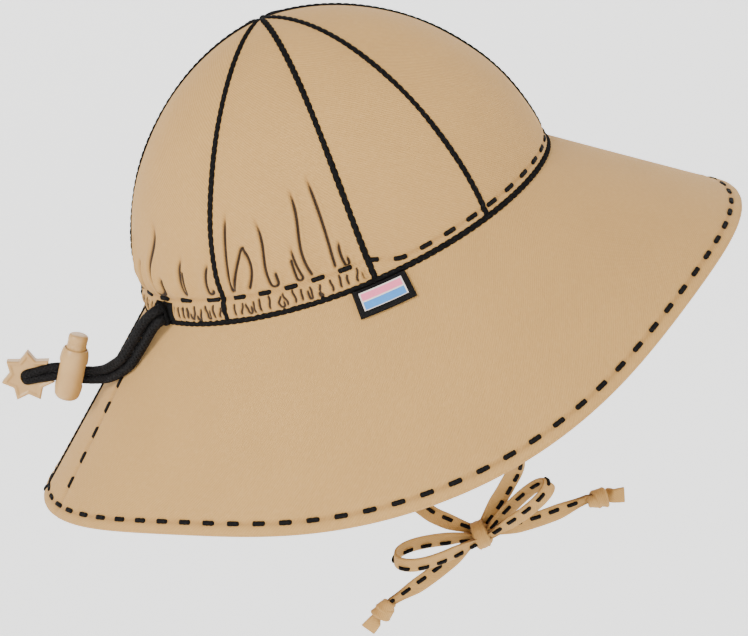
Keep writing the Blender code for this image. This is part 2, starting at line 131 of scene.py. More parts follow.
# Nodes: one small maker that every material below uses
class Paint:
    def __init__(self, name):
        self.material = bpy.data.materials.new(name)
        self.material.use_nodes = True
        self.tree = self.material.node_tree

    def feed(self, socket, value):  # a link from another node, or a fixed value
        if isinstance(value, bpy.types.NodeSocket):
            self.tree.links.new(value, socket)
        else:
            socket.default_value = value

    def node(self, kind, values=None, **settings):
        made = self.tree.nodes.new(kind)
        for key, value in settings.items():
            setattr(made, key, value)
        for key, value in (values or {}).items():
            self.feed(made.inputs[key], value)
        return made

    def attribute(self, name, output="Vector"):
        return self.node("ShaderNodeAttribute", attribute_name=name).outputs[output]

    def objectPlace(self):
        return self.node("ShaderNodeTexCoord").outputs["Object"]

    def wave(self, place, pitch, direction="X", distort=0.0, detail=2.0):
        # A band wave repeats every 2 pi / 20 units, and a diagonal one every 2 pi / (10 sqrt 2)
        period = 2 * math.pi / 20 if direction != "DIAGONAL" else 2 * math.pi / (10 * math.sqrt(2))
        values = {"Vector": place, "Scale": period / pitch, "Distortion": distort, "Detail": detail}
        made = self.node("ShaderNodeTexWave", values, wave_type="BANDS", bands_direction=direction)
        return made.outputs["Fac"]

    def noise(self, place, scale, detail=3.0, roughness=0.5):
        values = {"Vector": place, "Scale": scale, "Detail": detail, "Roughness": roughness}
        return self.node("ShaderNodeTexNoise", values).outputs["Fac"]

    def between(self, value, low, high, fromLow=0.0, fromHigh=1.0):
        values = {"Value": value, "From Min": fromLow, "From Max": fromHigh, "To Min": low, "To Max": high}
        return self.node("ShaderNodeMapRange", values).outputs["Result"]

    def sums(self, operation, first, second):
        return self.node("ShaderNodeMath", {0: first, 1: second}, operation=operation).outputs["Value"]

    def blend(self, share, first, second, mode="MIX"):
        first, second = ((*value, 1) if isinstance(value, tuple) else value for value in (first, second))
        values = {0: share, 6: first, 7: second}
        return self.node("ShaderNodeMix", values, data_type="RGBA", blend_type=mode).outputs[2]

    def relief(self, height, depth, onto=None):
        values = {"Height": height, "Distance": depth}
        if onto is not None:
            values["Normal"] = onto
        return self.node("ShaderNodeBump", values).outputs["Normal"]

    def surface(self, **values):
        for key, value in values.items():
            self.feed(self.tree.nodes["Principled BSDF"].inputs[key.replace("_", " ")], value)
        return self.material


# Cotton twill: slanting ribs of twisted threads, a soft nap, and painted shade with dark painted shadow
# lines in creases, grooves and seams
twill = {
    "colour": (0.475, 0.268, 0.082),
    "shade": (0.28, 0.152, 0.046),
    "wornAndShade": (0.56, 0.345, 0.13),
    # crease: the near-black of the painted shadow lines down the middle of the creases
    "crease": (0.030, 0.018, 0.010),
    "ribPitch": 0.85,
    "threadPitch": 0.42,
    "ribDepth": 0.09 * mm,
    "threadDepth": 0.035 * mm,
    "napDepth": 0.05 * mm,
}


def twillMaterial():
    paint = Paint("tanTwill")
    grain = paint.attribute("grain")
    paintedShade = paint.attribute("paintedShade", "Fac")
    rib = paint.wave(grain, twill["ribPitch"], "DIAGONAL", distort=0.6)
    thread = paint.wave(grain, twill["threadPitch"], "X", distort=1.2)
    slub = paint.noise(grain, 0.55, detail=4.0)
    nap = paint.noise(grain, 5.0, detail=3.0, roughness=0.6)
    cloud = paint.noise(grain, 0.035, detail=2.0)
    tone = paint.blend(paint.between(rib, 0.26, 0.0), twill["colour"], twill["shade"])
    tone = paint.blend(paint.between(slub, 0.0, 0.22, 0.45, 0.75), tone, twill["wornAndShade"])
    tone = paint.blend(paint.between(nap, 0.12, 0.0, 0.3, 0.6), tone, twill["shade"])
    tone = paint.blend(paint.between(cloud, 0.0, 0.10, 0.4, 0.7), tone, twill["shade"])
    # Painted shade: creases, grooves, seams and folds are darkened, and the deepest creases get near-black
    # painted shadow lines
    tone = paint.blend(paint.between(paintedShade, 0.0, 0.85), tone, twill["shade"], "MULTIPLY")
    tone = paint.blend(paint.between(paintedShade, 0.0, 0.97, 0.32, 0.66), tone, twill["crease"])
    bumps = paint.relief(thread, twill["threadDepth"], onto=paint.relief(nap, twill["napDepth"]))
    bumps = paint.relief(rib, twill["ribDepth"], onto=bumps)
    return paint.surface(Base_Color=tone, Roughness=paint.between(nap, 0.78, 0.94), Normal=bumps,
                         Sheen_Weight=0.06, Sheen_Roughness=0.5, Specular_IOR_Level=0.2)


# Dark thread: two twisted strands with a slight gloss
darkThread = {
    "colour": (0.003, 0.0027, 0.0027),
    "light": (0.010, 0.0092, 0.0092),
    "fibrePitch": 0.3,
    "fibreDepth": 0.05 * mm,
}


def threadMaterial():
    paint = Paint("darkThread")
    grain = paint.attribute("grain")
    fibre = paint.wave(grain, darkThread["fibrePitch"], "DIAGONAL", distort=2.0)
    fuzz = paint.noise(grain, 3.0)
    tone = paint.blend(paint.between(fibre, 0.0, 0.5), darkThread["colour"], darkThread["light"])
    return paint.surface(Base_Color=tone, Roughness=paint.between(fuzz, 0.55, 0.8),
                         Normal=paint.relief(fibre, darkThread["fibreDepth"]), Specular_IOR_Level=0.07)


# Braided elastic: a black sleeve of crossing strands over rubber
elastic = {
    "colour": (0.003, 0.0027, 0.0027),
    "light": (0.009, 0.0082, 0.0082),
    "braidPitch": 1.3,
    "braidDepth": 0.22 * mm,
    "yarnPitch": 0.32,
    "yarnDepth": 0.05 * mm,
}


def elasticMaterial():
    paint = Paint("braidedElastic")
    grain = paint.attribute("grain")
    turned = paint.node("ShaderNodeMapping", {"Vector": grain, "Scale": (1, -1, 1)}).outputs["Vector"]
    one, other = (paint.wave(way, elastic["braidPitch"], "DIAGONAL") for way in (grain, turned))
    braid = paint.sums("MAXIMUM", one, other)
    yarn = paint.wave(grain, elastic["yarnPitch"], "DIAGONAL", distort=1.5)
    tone = paint.blend(paint.sums("MULTIPLY", braid, 0.7), elastic["colour"], elastic["light"])
    bumps = paint.relief(yarn, elastic["yarnDepth"], onto=paint.relief(braid, elastic["braidDepth"]))
    return paint.surface(Base_Color=tone, Roughness=paint.between(yarn, 0.55, 0.8), Normal=bumps,
                         Specular_IOR_Level=0.1)


# Moulded plastic in the cloth's colour: satin, with a fine spark-eroded grain and faint flow marks
plastic = {
    "colour": (0.42, 0.236, 0.075),
    "rubbed": (0.52, 0.315, 0.12),
    "roughness": (0.34, 0.48),
    "grainDepth": 0.03 * mm,
    "flowDepth": 0.05 * mm,
}


def plasticMaterial():
    paint = Paint("tanPlastic")
    place = paint.objectPlace()
    grain = paint.noise(place, 2600.0, detail=2.0)
    flow = paint.noise(place, 130.0, detail=3.0)
    tone = paint.blend(paint.between(flow, 0.0, 0.35, 0.35, 0.7), plastic["colour"], plastic["rubbed"])
    bumps = paint.relief(grain, plastic["grainDepth"], onto=paint.relief(flow, plastic["flowDepth"]))
    return paint.surface(Base_Color=tone, Roughness=paint.between(grain, *plastic["roughness"]),
                         Normal=bumps, Specular_IOR_Level=0.5, Coat_Weight=0.08, Coat_Roughness=0.3)


# Woven satin of the label: name, colour, shade, gloss and sheen
satins = [
    ("labelEdge", (0.003, 0.0027, 0.0027), (0.009, 0.0082, 0.0082), 0.08, 0),
    ("labelGround", (0.74, 0.66, 0.60), (0.52, 0.44, 0.39), 0.35, 0.15),
    ("labelPink", (0.85, 0.20, 0.32), (0.66, 0.12, 0.22), 0.35, 0.15),
    ("labelBlue", (0.05, 0.25, 0.60), (0.03, 0.16, 0.42), 0.35, 0.15),
]


def satinMaterial(name, colour, shade, gloss, sheen):
    paint = Paint(name)
    grain = paint.attribute("grain")
    warp = paint.wave(grain, 0.3, "X", distort=0.5)
    weft = paint.wave(grain, 0.36, "Y", distort=0.5)
    weave = paint.sums("MULTIPLY", warp, weft)
    fuzz = paint.noise(grain, 2.0)
    tone = paint.blend(paint.between(weave, 0.45, 0.0), colour, shade)
    tone = paint.blend(paint.between(fuzz, 0.0, 0.25, 0.4, 0.8), tone, shade)
    return paint.surface(Base_Color=tone, Roughness=paint.between(weave, 0.7, 0.5),
                         Normal=paint.relief(weave, 0.06 * mm), Sheen_Weight=sheen, Specular_IOR_Level=gloss)


materials = {
    "twill": twillMaterial(),
    "thread": threadMaterial(),
    "elastic": elasticMaterial(),
    "plastic": plasticMaterial(),
    **{satin[0]: satinMaterial(*satin) for satin in satins},
}
print("materials made")


# Mesh makers. A loft joins rings of points; grain holds cloth coordinates in millimetres, and a second
# attribute the painted shade of creases, grooves, seams and folds
def meshObject(name, points, faces, paints, grain=None, paintedShade=0):
    mesh = bpy.data.meshes.new(name)
    mesh.from_pydata(np.asarray(points).reshape(-1, 3).tolist(), [], faces)
    for key in [paints] if isinstance(paints, str) else paints:
        mesh.materials.append(materials[key])
    if grain is not None:
        flat = np.zeros((len(mesh.vertices), 3), np.float32)
        flat[:, :2] = np.asarray(grain).reshape(-1, 2)
        mesh.attributes.new("grain", "FLOAT_VECTOR", "POINT").data.foreach_set("vector", flat.ravel())
    # Painted shade per point, which the twill's colour darkens by
    wornAndShade = np.zeros(len(mesh.vertices), np.float32)
    wornAndShade[:] = np.asarray(paintedShade).reshape(-1)
    mesh.attributes.new("paintedShade", "FLOAT", "POINT").data.foreach_set("value", wornAndShade)
    shell = bmesh.new()
    shell.from_mesh(mesh)
    bmesh.ops.recalc_face_normals(shell, faces=shell.faces)
    shell.to_mesh(mesh)
    shell.free()
    mesh.shade_smooth()
    return inScene(name, mesh)


def loftFaces(count, around, closed=False, caps=None):
    rows = np.arange(count if closed else count - 1)[:, None]
    columns = np.arange(around)[None, :]
    after, beside = (rows + 1) % count, (columns + 1) % around
    quads = stacked(rows * around + columns, rows * around + beside,
                    after * around + beside, after * around + columns)
    faces = quads.reshape(-1, 4).tolist()
    last = (count - 1) * around
    if caps == "wall":
        faces += [[first + j, first + j + 1, first + around - 2 - j, first + around - 1 - j]
                  for first in (0, last) for j in range(around // 2 - 1)]
    if caps == "flat":
        faces += [list(range(around)), list(range(last, last + around))]
    return faces


def loft(name, rings, paint, grain=None, paintedShade=0, closed=False, caps="flat"):
    return meshObject(name, rings, loftFaces(*rings.shape[:2], closed, caps), paint, grain, paintedShade)


def joined(name, tubes):  # many tubes of thread in one mesh: each has rings, grain and whether it is closed
    faces, offset = [], 0
    for rings, grain, closed in tubes:
        one = loftFaces(*rings.shape[:2], closed, None if closed else "flat")
        faces += [[corner + offset for corner in face] for face in one]
        offset += rings.shape[0] * rings.shape[1]
    points = np.concatenate([rings.reshape(-1, 3) for rings, grain, closed in tubes])
    grains = np.concatenate([grain.reshape(-1, 2) for rings, grain, closed in tubes])
    finish(meshObject(name, points, faces, "thread", grains), None)


def bothFaces(outer, inner):  # rings round a sheet of cloth, over one face and back along the other
    return np.concatenate([outer, inner[:, ::-1]], axis=1)


def finish(piece, slot, *nodes, body="hat"):
    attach(piece, body)
    if nodes:
        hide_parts(*nodes)
    return piece


# The hat's form, as the solids have it
crown = {
    "length": 176 * mm,
    "width": 144 * mm,
    "sideDip": 6 * mm,
    "height": 88.3 * mm,
    "fullness": 1.84,
    "wall": 1.5 * mm,
    "swell": 0.9 * mm,
    "tipRadius": 0.7 * mm,
    "edgeRoll": 1.15 * mm,
    # Painted shade where the edges turn in at the seams and the foot
    "edgeShade": 0.3,
    "edgeThinning": 0.7 * mm,
    "edgeGap": 0.05 * mm,
    "innerRelief": 0.8,
    # Share of the painted shade that the inside face gets
    "innerShade": 0.3,
    "softWaves": 0.22 * mm,
    "seamLean": 12.5,
    "leanStart": 56,
    "leanRise": 1.8,
}
# Turns are in degrees from the front, and each pleat has its share of the pleats' rise
panels = [
    {"name": "front", "start": 0, "end": 56, "pleats": ()},
    {"name": "front_side", "start": 56, "end": 89, "pleats": ()},
    {"name": "back_side", "start": 89, "end": 129, "pleats": (0.8, 1.0, 0.45, 0.7)},
    {"name": "back", "start": 129, "end": 180, "pleats": (0.95, 0.6, 0.4, 0.5, 0.4, 0.85, 0.5)},
]


def seamLean(turn, height):  # toward the tip, the seams behind the front side panels lean to the front
    past = np.clip((np.abs(turn) - crown["leanStart"]) / (180 - crown["leanStart"]), 0, 1)
    rise = np.clip(height / crown["height"], 0, 1) ** crown["leanRise"]
    return crown["seamLean"] * rise * np.sin(math.pi * past) ** 3


def dome(turn, height):
    angle = np.radians(turn - np.sign(turn) * seamLean(turn, height))
    rise = np.clip(height / crown["height"], 0, 1) ** crown["fullness"]
    reach = (1 - rise) ** (1 / crown["fullness"])
    dip = crown["sideDip"] * (reach * np.sin(angle)) ** 2
    halfLength, halfWidth = crown["length"] / 2, crown["width"] / 2
    return stacked(halfLength * reach * np.cos(angle), halfWidth * reach * np.sin(angle), height - dip)


def domeOutward(turn, height):
    low = np.minimum(height, crown["height"] * 0.985)
    around = dome(turn + 0.5, low) - dome(turn - 0.5, low)
    upward = dome(turn, low + 0.1 * mm) - dome(turn, low)
    return unit(np.cross(around, upward))


def stretch(turn, height):  # length along the crown for each degree
    return np.linalg.norm(dome(turn + 0.5, height) - dome(turn - 0.5, height), axis=-1)


# Gathers: soft pleats, and creases that the elastic draws in above the casing and across it
gathers = {
    "casing": 8.5 * mm,
    "start": 89,
    "fadeIn": 4,
    "pleatDepth": 0.55 * mm,
    "pleatRise": 36 * mm,
    "widenFrom": 128,
    "widenOver": 26,
    "widenBy": 0.7,
    "lipHeight": 0.42,
    "lipPlace": 2.3,
    "lipWidth": 1.3,
    "smallPitch": 2.9 * mm,
    "calmAtRow": 0.8,
    "casingPuff": 0.7 * mm,
    "pull": 1.4 * mm,
    "pathStep": 0.25 * mm,
    "seed": 11,
}
# On each side: turn and height at the top, turn and height at the foot, bow and sway toward the back, the
# width and rise of the curl at the foot, and the share that fades at the top, in degrees and millimetres
longCreases = [
    (94.0, 19, 94.5, 9.6, 0.6, 0, -1.7, 2.5, 0.3),
    (98.0, 43, 97.0, 9.4, -1.2, 0, 0, 0, 0.3),
    (104.0, 41, 103.0, 9.4, 0, -0.9, 0, 0, 0.3),
    (106.5, 23, 105.5, 10.3, 0.4, 0, 2.4, 7.5, 0.3),
    (115.5, 35, 114.0, 11, -1.3, -0.6, -3, 4, 0.3),
    (119.7, 26.2, 120.5, 10.4, -2.9, 0, 0, 0, 0.02),
    (119.7, 26.2, 124.5, 10.6, 0.5, 0, 0, 0, 0.02),
    (124.0, 39, 125.0, 10.4, 0.3, 0, 0, 0, 0.3),
    (131.0, 23, 132.5, 12, 0.7, 0, -1.9, 1, 0.3),
    (140.0, 26.5, 142.0, 12.5, 1, 0, -1.8, 8, 0.3),
    (152.5, 38.5, 156.0, 13, 0, -2.2, -6, 4, 0.3),
    (164.0, 23.5, 166.5, 10.6, 0, 0.5, 0, 0, 0.3),
    (171.0, 31, 172.0, 10.6, 1, 0, 0, 0, 0.3),
    (176.0, 20, 175.0, 11.5, 0.5, 0, 2.4, 5, 0.3),
]


def smallCreases():  # squiggles across the casing, some of them with a curl
    chance = random.Random(gathers["seed"])
    creases = []
    seam = panels[3]["start"]
    turn = gathers["start"] + 1.2
    while turn < 179.4:
        if abs(turn - seam) < 1.6:
            turn = seam + 1.6
        curl = chance.choice((0, 0, -1, 1)) * chance.uniform(1.1, 1.9)
        foot = chance.uniform(1.4, 2.0) + abs(curl) / 2
        creases.append((
            turn + chance.uniform(-0.5, 0.5), chance.uniform(6.0, 7.4), turn, foot,
            chance.uniform(-0.5, 0.5), chance.uniform(-0.45, 0.45), curl, chance.uniform(0.8, 3.2), 0.1))
        pitch = gathers["smallPitch"] * chance.uniform(0.7, 1.35) + abs(curl) * 0.5 * mm
        turn += pitch / float(stretch(turn, gathers["casing"]))
    return creases


def creaseLine(crease):  # turns and heights close together along a crease, and its strength there
    topTurn, topHeight, footTurn, footHeight, bow, sway, curl, curlRise, fade = crease
    share = np.linspace(0, 1, 30)
    bend = np.linspace(0, math.pi, 12)[1:] if curl else np.zeros(0)
    rise = np.linspace(0, curlRise, 8)[1:] if curl else np.zeros(0)
    aside = bow * np.sin(math.pi * share) + sway * np.sin(2 * math.pi * share)
    aside = np.concatenate([aside, curl / 2 * (1 - np.cos(bend)), curl + 0 * rise]) * mm
    height = np.concatenate([mixed(topHeight, footHeight, share), footHeight - abs(curl) / 2 * np.sin(bend),
                             footHeight + rise]) * mm
    turn = np.interp(np.arange(len(height)), np.arange(30), mixed(topTurn, footTurn, share))
    perDegree = stretch(turn, height)
    steps = np.hypot(np.diff(turn) * perDegree[1:] + np.diff(aside), np.diff(height))
    along = np.concatenate([[0], np.cumsum(steps)])
    at = np.arange(0, along[-1], gathers["pathStep"])
    strength = ramp(at / (along[-1] * fade) + 0.15) * ramp((along[-1] - at) / (1.5 * mm) + 0.3)
    return np.interp(at, along, turn + aside / perDegree), np.interp(at, along, height), strength


creaseKinds = [
    {"depth": 1.0 * mm, "width": 0.6 * mm, "lines": [creaseLine(crease) for crease in longCreases]},
    {"depth": 0.7 * mm, "width": 0.5 * mm, "lines": [creaseLine(crease) for crease in smallCreases()]},
]

# The row of stitches over the casing runs low in front of the side seams
bandRow = {
    "frontHeight": 3.4 * mm,
    "backHeight": 7.9 * mm,
    "farHeight": 9.0 * mm,
    "from": 80,
    "over": 10,
    "farFrom": 105,
    "farOver": 40,
    "groove": 0.5 * mm,
    "grooveWidth": 0.9 * mm,
    # Painted shade along the groove of the row of stitches: its strength and width
    "paintedShade": 0.25,
    "shadeWidth": 0.8 * mm,
    "anchorTurn": -95,
    "gatheredAnchor": -132.3,
}


def bandRowHeight(turn):
    rise = ramp((np.abs(turn) - bandRow["from"]) / bandRow["over"])
    far = ramp((np.abs(turn) - bandRow["farFrom"]) / bandRow["farOver"])
    height = mixed(bandRow["frontHeight"], bandRow["backHeight"], rise)
    return height + (bandRow["farHeight"] - bandRow["backHeight"]) * far


def pleatRise(panel, share):
    count = len(panel["pleats"])
    return gathers["pleatRise"] * np.interp(share, (np.arange(count) + 0.5) / count, panel["pleats"])


# Buttonhole: a close block of satin stitches on the casing, where the cord comes out
buttonhole = {
    "turn": -153.8,
    "height": 4.0 * mm,
    "halfWide": 6.2 * mm,
    "halfTall": 3.7 * mm,
    "thickness": 0.95 * mm,
    "ribPitch": 0.62 * mm,
    "ribDepth": 0.16 * mm,
    "sunk": 0.4 * mm,
    "columns": 150,
    "rows": 36,
}


def insideButtonhole(turn, height, perDegree):
    across = np.abs(turn - buttonhole["turn"]) * perDegree
    upward = np.abs(height - buttonhole["height"])
    beyond = np.maximum(across - buttonhole["halfWide"], upward - buttonhole["halfTall"])
    return 1 - ramp(beyond / (1.5 * mm))


def creaseCut(distance, width):  # a sharp valley between two soft lips
    lip = bump(distance - gathers["lipPlace"] * width, gathers["lipWidth"] * width)
    return gathers["lipHeight"] * lip - bump(distance, width)


def shareOf(panel, turn):  # 0 at the panel's front edge, 1 at its back edge
    return (np.abs(turn) - panel["start"]) / (panel["end"] - panel["start"])


# How far the cloth stands out from the dome, and the painted shade in its creases and in the groove of its
# row of stitches
def crownRelief(panel, share, turn, height):
    rise = np.minimum(height / crown["height"], 1)
    away, angle = np.abs(turn), np.radians(turn)
    soft = np.sin(angle * 7 + height / (9 * mm)) * np.sin(angle * 4.3 - height / (13 * mm))
    fromRow = height - bandRowHeight(turn)
    relief = crown["swell"] * np.sin(math.pi * share) * np.sin(math.pi * rise**2)
    relief = relief + crown["softWaves"] * soft * np.sin(math.pi * rise)
    relief = relief - bandRow["groove"] * bump(fromRow, bandRow["grooveWidth"])
    # Painted shade along the groove of the row of stitches
    paintedShade = bandRow["paintedShade"] * bump(fromRow, bandRow["shadeWidth"])
    if not panel["pleats"]:
        return relief, paintedShade
    start = ramp((away - gathers["start"]) / gathers["fadeIn"])
    above = height - gathers["casing"]
    pleat = -np.cos(2 * math.pi * len(panel["pleats"]) * share)
    depth = gathers["pleatDepth"] * ramp(above / (4 * mm) + 0.2) * ramp(1 - above / pleatRise(panel, share))
    puff = np.where(above < 0, np.sin(math.pi * np.clip(height / gathers["casing"], 0, 1)) ** 0.7, 0)
    pull = gathers["pull"] * np.exp(-((above / gathers["casing"]) ** 2) * 3)
    relief = relief + start * (depth * pleat + gathers["casingPuff"] * puff - pull)
    perDegree = stretch(turn, height)
    # The row of stitches and the buttonhole hold the cloth flat
    calm = 1 - gathers["calmAtRow"] * bump(fromRow, bandRow["grooveWidth"])
    calm = calm * (1 - insideButtonhole(turn, height, perDegree))
    wider = 1 + gathers["widenBy"] * ramp((away - gathers["widenFrom"]) / gathers["widenOver"])
    for kind in creaseKinds:
        reach = 6 * kind["width"]
        for turns, heights, strengths in kind["lines"]:
            near = (height > heights.min() - reach) & (height < heights.max() + reach)
            near &= (away > turns.min() - 3) & (away < turns.max() + 3)
            if not near.any():
                continue
            aside = (away[near][:, None] - turns) * perDegree[near][:, None]
            gap = np.hypot(aside, height[near][:, None] - heights)
            strength = strengths[gap.argmin(axis=1)] * (calm * start)[near]
            gap = gap.min(axis=1) / wider[near]
            relief[near] += kind["depth"] * strength * creaseCut(gap, kind["width"])
            # Painted shade and painted shadow lines down each crease
            paintedShade[near] = np.maximum(paintedShade[near], strength * bump(gap, kind["width"]))
    return relief, np.clip(paintedShade, 0, 1)


# Columns and rows of a gore's mesh: close at its edges, at the rows of stitches and at the gathers
goreGrid = {
    "edge": (0, 0.12, 0.3, 0.55, 0.85, 1.2, 1.8),
    "gathered": {
        "column": 0.38 * mm,
        "rows": (
            0, 0.35, 0.8, *np.arange(1.3, 1.9, 0.5), *np.arange(2.4, 8.5, 0.6), *np.arange(8.9, 10.5, 0.5),
            *np.arange(11, 24, 0.55), *np.arange(24, 45, 0.85)),
        "tipFrom": 46 * mm,
        "tipRows": 26,
    },
    "plain": {
        "column": 1.4 * mm,
        "rows": (0, 0.35, 0.8, 1.4, 2.1, 2.7, 3.2, 3.7, 4.3, 5.1, 6.2, 7.7, 9.5),
        "tipFrom": 12 * mm,
        "tipRows": 40,
    },
}


def tipAngle(radius):  # the angle at which the crown has closed to a radius
    return math.asin((1 - (radius / (crown["width"] / 2)) ** crown["fullness"]) ** 0.5)


def heightAt(angle):
    return crown["height"] * np.sin(angle) ** (2 / crown["fullness"])


def goreHeights(grid):
    low = math.asin((grid["tipFrom"] / crown["height"]) ** (crown["fullness"] / 2))
    angles = np.linspace(low, tipAngle(crown["tipRadius"]), grid["tipRows"])
    return np.concatenate([np.array(grid["rows"]) * mm, heightAt(angles)])


def makeGore(panel, sideName, side):
    grid = goreGrid["gathered" if panel["pleats"] else "plain"]
    heights = goreHeights(grid)[:, None]
    low, high = sorted((side * panel["start"], side * panel["end"]))
    widest = (high - low) * float(stretch((low + high) / 2, 15 * mm))
    edge = np.array(goreGrid["edge"]) * mm
    middle = np.linspace(0, 1, int(widest / grid["column"]))[1:-1]
    lowStretch, highStretch = stretch(low, heights), stretch(high, heights)
    room = (high - low) * (lowStretch + highStretch) / 2
    scale = np.minimum(1, 0.42 * room / edge[-1])
    lowEdge = low + (crown["edgeGap"] + edge[None, :] * scale) / lowStretch
    highEdge = high - (crown["edgeGap"] + edge[None, ::-1] * scale) / highStretch
    inner = mixed(lowEdge[:, -1:], highEdge[:, :1], middle[None, :])
    turn = np.concatenate([lowEdge, inner, highEdge], axis=1)
    height = np.broadcast_to(heights, turn.shape)
    share = (turn - low) / (high - low)
    fromFront = share if side > 0 else 1 - share
    relief, paintedShade = crownRelief(panel, fromFront, turn, height)
    # The edges turn in at the seams, and so does the foot where it meets the brim
    perDegree = stretch(turn, height)
    fromEdge = np.minimum(turn - low, high - turn) * perDegree
    foot = np.minimum(fromEdge, height + 0.1 * mm)
    roll = crown["edgeRoll"]
    inward = np.clip(1 - foot / roll, 0, 1)
    relief = relief - roll * (1 - np.sqrt(1 - inward**2))
    # Painted shade where the edges turn in at the seams and at the foot
    paintedShade = np.clip(paintedShade + crown["edgeShade"] * inward, 0, 1)
    outward = domeOutward(turn, height)
    thickness = crown["wall"] - crown["edgeThinning"] * inward
    outer = dome(turn, height) + outward * relief[..., None]
    inner = dome(turn, height) + outward * (relief * crown["innerRelief"] - thickness)[..., None]
    along = lengthsOf(outer[:, outer.shape[1] // 2])
    grain = stacked((turn - (low + high) / 2) * perDegree / mm, along[:, None] / mm)
    name = f"{panel['name']}_{sideName}"
    # The inside face gets a weaker copy of the painted shade
    gore = loft(f"gore_{name}", bothFaces(outer, inner), "twill", bothFaces(grain, grain),
                bothFaces(paintedShade, paintedShade * crown["innerShade"]), caps="wall")
    finish(gore, "twill", f"crown_panel_{name}")


def makeCrown():
    for panel in panels:
        makeGore(panel, "left", 1)
        makeGore(panel, "right", -1)
    print("crown sewn")


# Brim: slopes out and down from the seam, two layers turned at the rim
brim = {
    "frontOut": 66.5 * mm,
    "frontDrop": 52 * mm,
    "backOut": 73.5 * mm,
    "backDrop": 58.4 * mm,
    "sideOut": 44.4 * mm,
    "sideDrop": 71 * mm,
    "peak": 8,
    "dip": 2,
    "gap": 0.3 * mm,
    "wall": 2 * mm,
    "columns": 560,
    "rowsNearRim": np.linspace(0, 9, 22) * mm,
    "rowsAbove": np.linspace(9.8, 76, 24) * mm,
    "rowsOver": 78 * mm,
    "rowsNearSeam": np.array([1.4, 0.95, 0.6, 0.3, 0.1, 0.0]) * mm,
    "rimRow": 4.8 * mm,
    "rowGroove": 0.5 * mm,
    "grooveWidth": 1.0 * mm,
    "pucker": 0.24 * mm,
    "puckerWidth": 3.0 * mm,
    "underRelief": 0.6,
    # Share of the painted shade that the brim's underside gets
    "underShade": 0.7,
    "hemSwell": 0.3 * mm,
    "hemPlace": 0.42,
    "hemWidth": 1.6 * mm,
    "sway": 0.7 * mm,
    "backSeamGroove": 0.7 * mm,
    "backSeamWidth": 0.8 * mm,
    "backRow": (16.1 * mm, 27.1 * mm),
    "backDashShare": 0.585,
}


def brimPoint(turn, share):
    angle = np.radians(turn)
    lean = np.abs(np.cos(angle))
    ahead = np.cos(angle) > 0
    endOut = np.where(ahead, brim["frontOut"], brim["backOut"])
    endDrop = np.where(ahead, brim["frontDrop"], brim["backDrop"])
    out = mixed(brim["sideOut"], endOut, lean ** brim["peak"])
    drop = mixed(brim["sideDrop"], endDrop, lean ** brim["dip"])
    away = unit(stacked(crown["width"] * np.cos(angle), crown["length"] * np.sin(angle), 0 * angle))
    down = stacked(0 * drop, 0 * drop, -brim["gap"] - drop * share)
    return dome(turn, 0 * angle) + away * (out * share)[..., None] + down


def brimOutward(turn, share):
    around = brimPoint(turn + 0.5, share) - brimPoint(turn - 0.5, share)
    downward = brimPoint(turn, share + 0.01) - brimPoint(turn, share - 0.01)
    return unit(np.cross(downward, around))


def slantOf(turn):
    return np.linalg.norm(brimPoint(turn, 1 + 0 * turn) - brimPoint(turn, 0 * turn), axis=-1)


def evenTurns(count, share):  # turns that lie evenly along the brim
    turns = np.linspace(-180, 180, 4001)
    along = lengthsOf(brimPoint(turns, share + 0 * turns))
    return np.interp(np.linspace(0, along[-1], count + 1), along, turns), along[-1]


# The rim's row closes evenly: so many dashes, one of them at a chosen turn
rimRow = {"pitch": 10.8 * mm, "anchorTurn": -90.26}
rimTurns = np.linspace(-180, 180, 2161)
rimLengths = lengthsOf(brimPoint(rimTurns, 1 - brim["rimRow"] / slantOf(rimTurns)))
rimCount = round(rimLengths[-1] / rimRow["pitch"])
rimAnchor = np.interp(rimRow["anchorTurn"], rimTurns, rimLengths)


def rimPucker(turn):  # the thread draws the cloth in at each dash
    along = np.interp(turn, rimTurns, rimLengths) - rimAnchor
    return -np.cos(2 * math.pi * rimCount * along / rimLengths[-1])


def backRowDistance(share):  # the rows of stitches at the back run apart toward the rim
    return mixed(*brim["backRow"], share)


def brimRelief(turn, share):
    slant = slantOf(turn)
    fromRim = (1 - share) * slant
    fromSeam = share * slant
    points = brimPoint(turn, share)
    fromBack = np.abs(points[..., 1]) + 1000 * (points[..., 0] > 0)
    angle = np.radians(turn)
    sway = brim["sway"] * np.sin(3 * angle + 0.7) * np.sin(4 * angle) * share**2
    row = bump(fromRim - brim["rimRow"], brim["grooveWidth"])
    pucker = rimPucker(turn) * bump(fromRim - brim["rimRow"], brim["puckerWidth"])
    hem = bump(fromRim - brim["rimRow"] * brim["hemPlace"], brim["hemWidth"])
    relief = sway - brim["rowGroove"] * row + brim["pucker"] * pucker + brim["hemSwell"] * hem
    seam = bump(fromBack, brim["backSeamWidth"])
    backRow = bump(fromBack - backRowDistance(share), brim["grooveWidth"]) * ramp(fromSeam / (8 * mm))
    relief = relief - brim["backSeamGroove"] * seam - brim["rowGroove"] * backRow
    inward = np.clip(1 - (fromSeam + 0.1 * mm) / crown["edgeRoll"], 0, 1)
    relief = relief - crown["edgeRoll"] * (1 - np.sqrt(1 - inward**2))
    # Painted shade in the grooves of the rows of stitches, along the back seam and where the cloth turns in
    # at the seam
    paintedShade = np.clip(0.3 * row + 0.3 * seam + 0.25 * backRow + 0.3 * inward, 0, 1)
    return relief, paintedShade


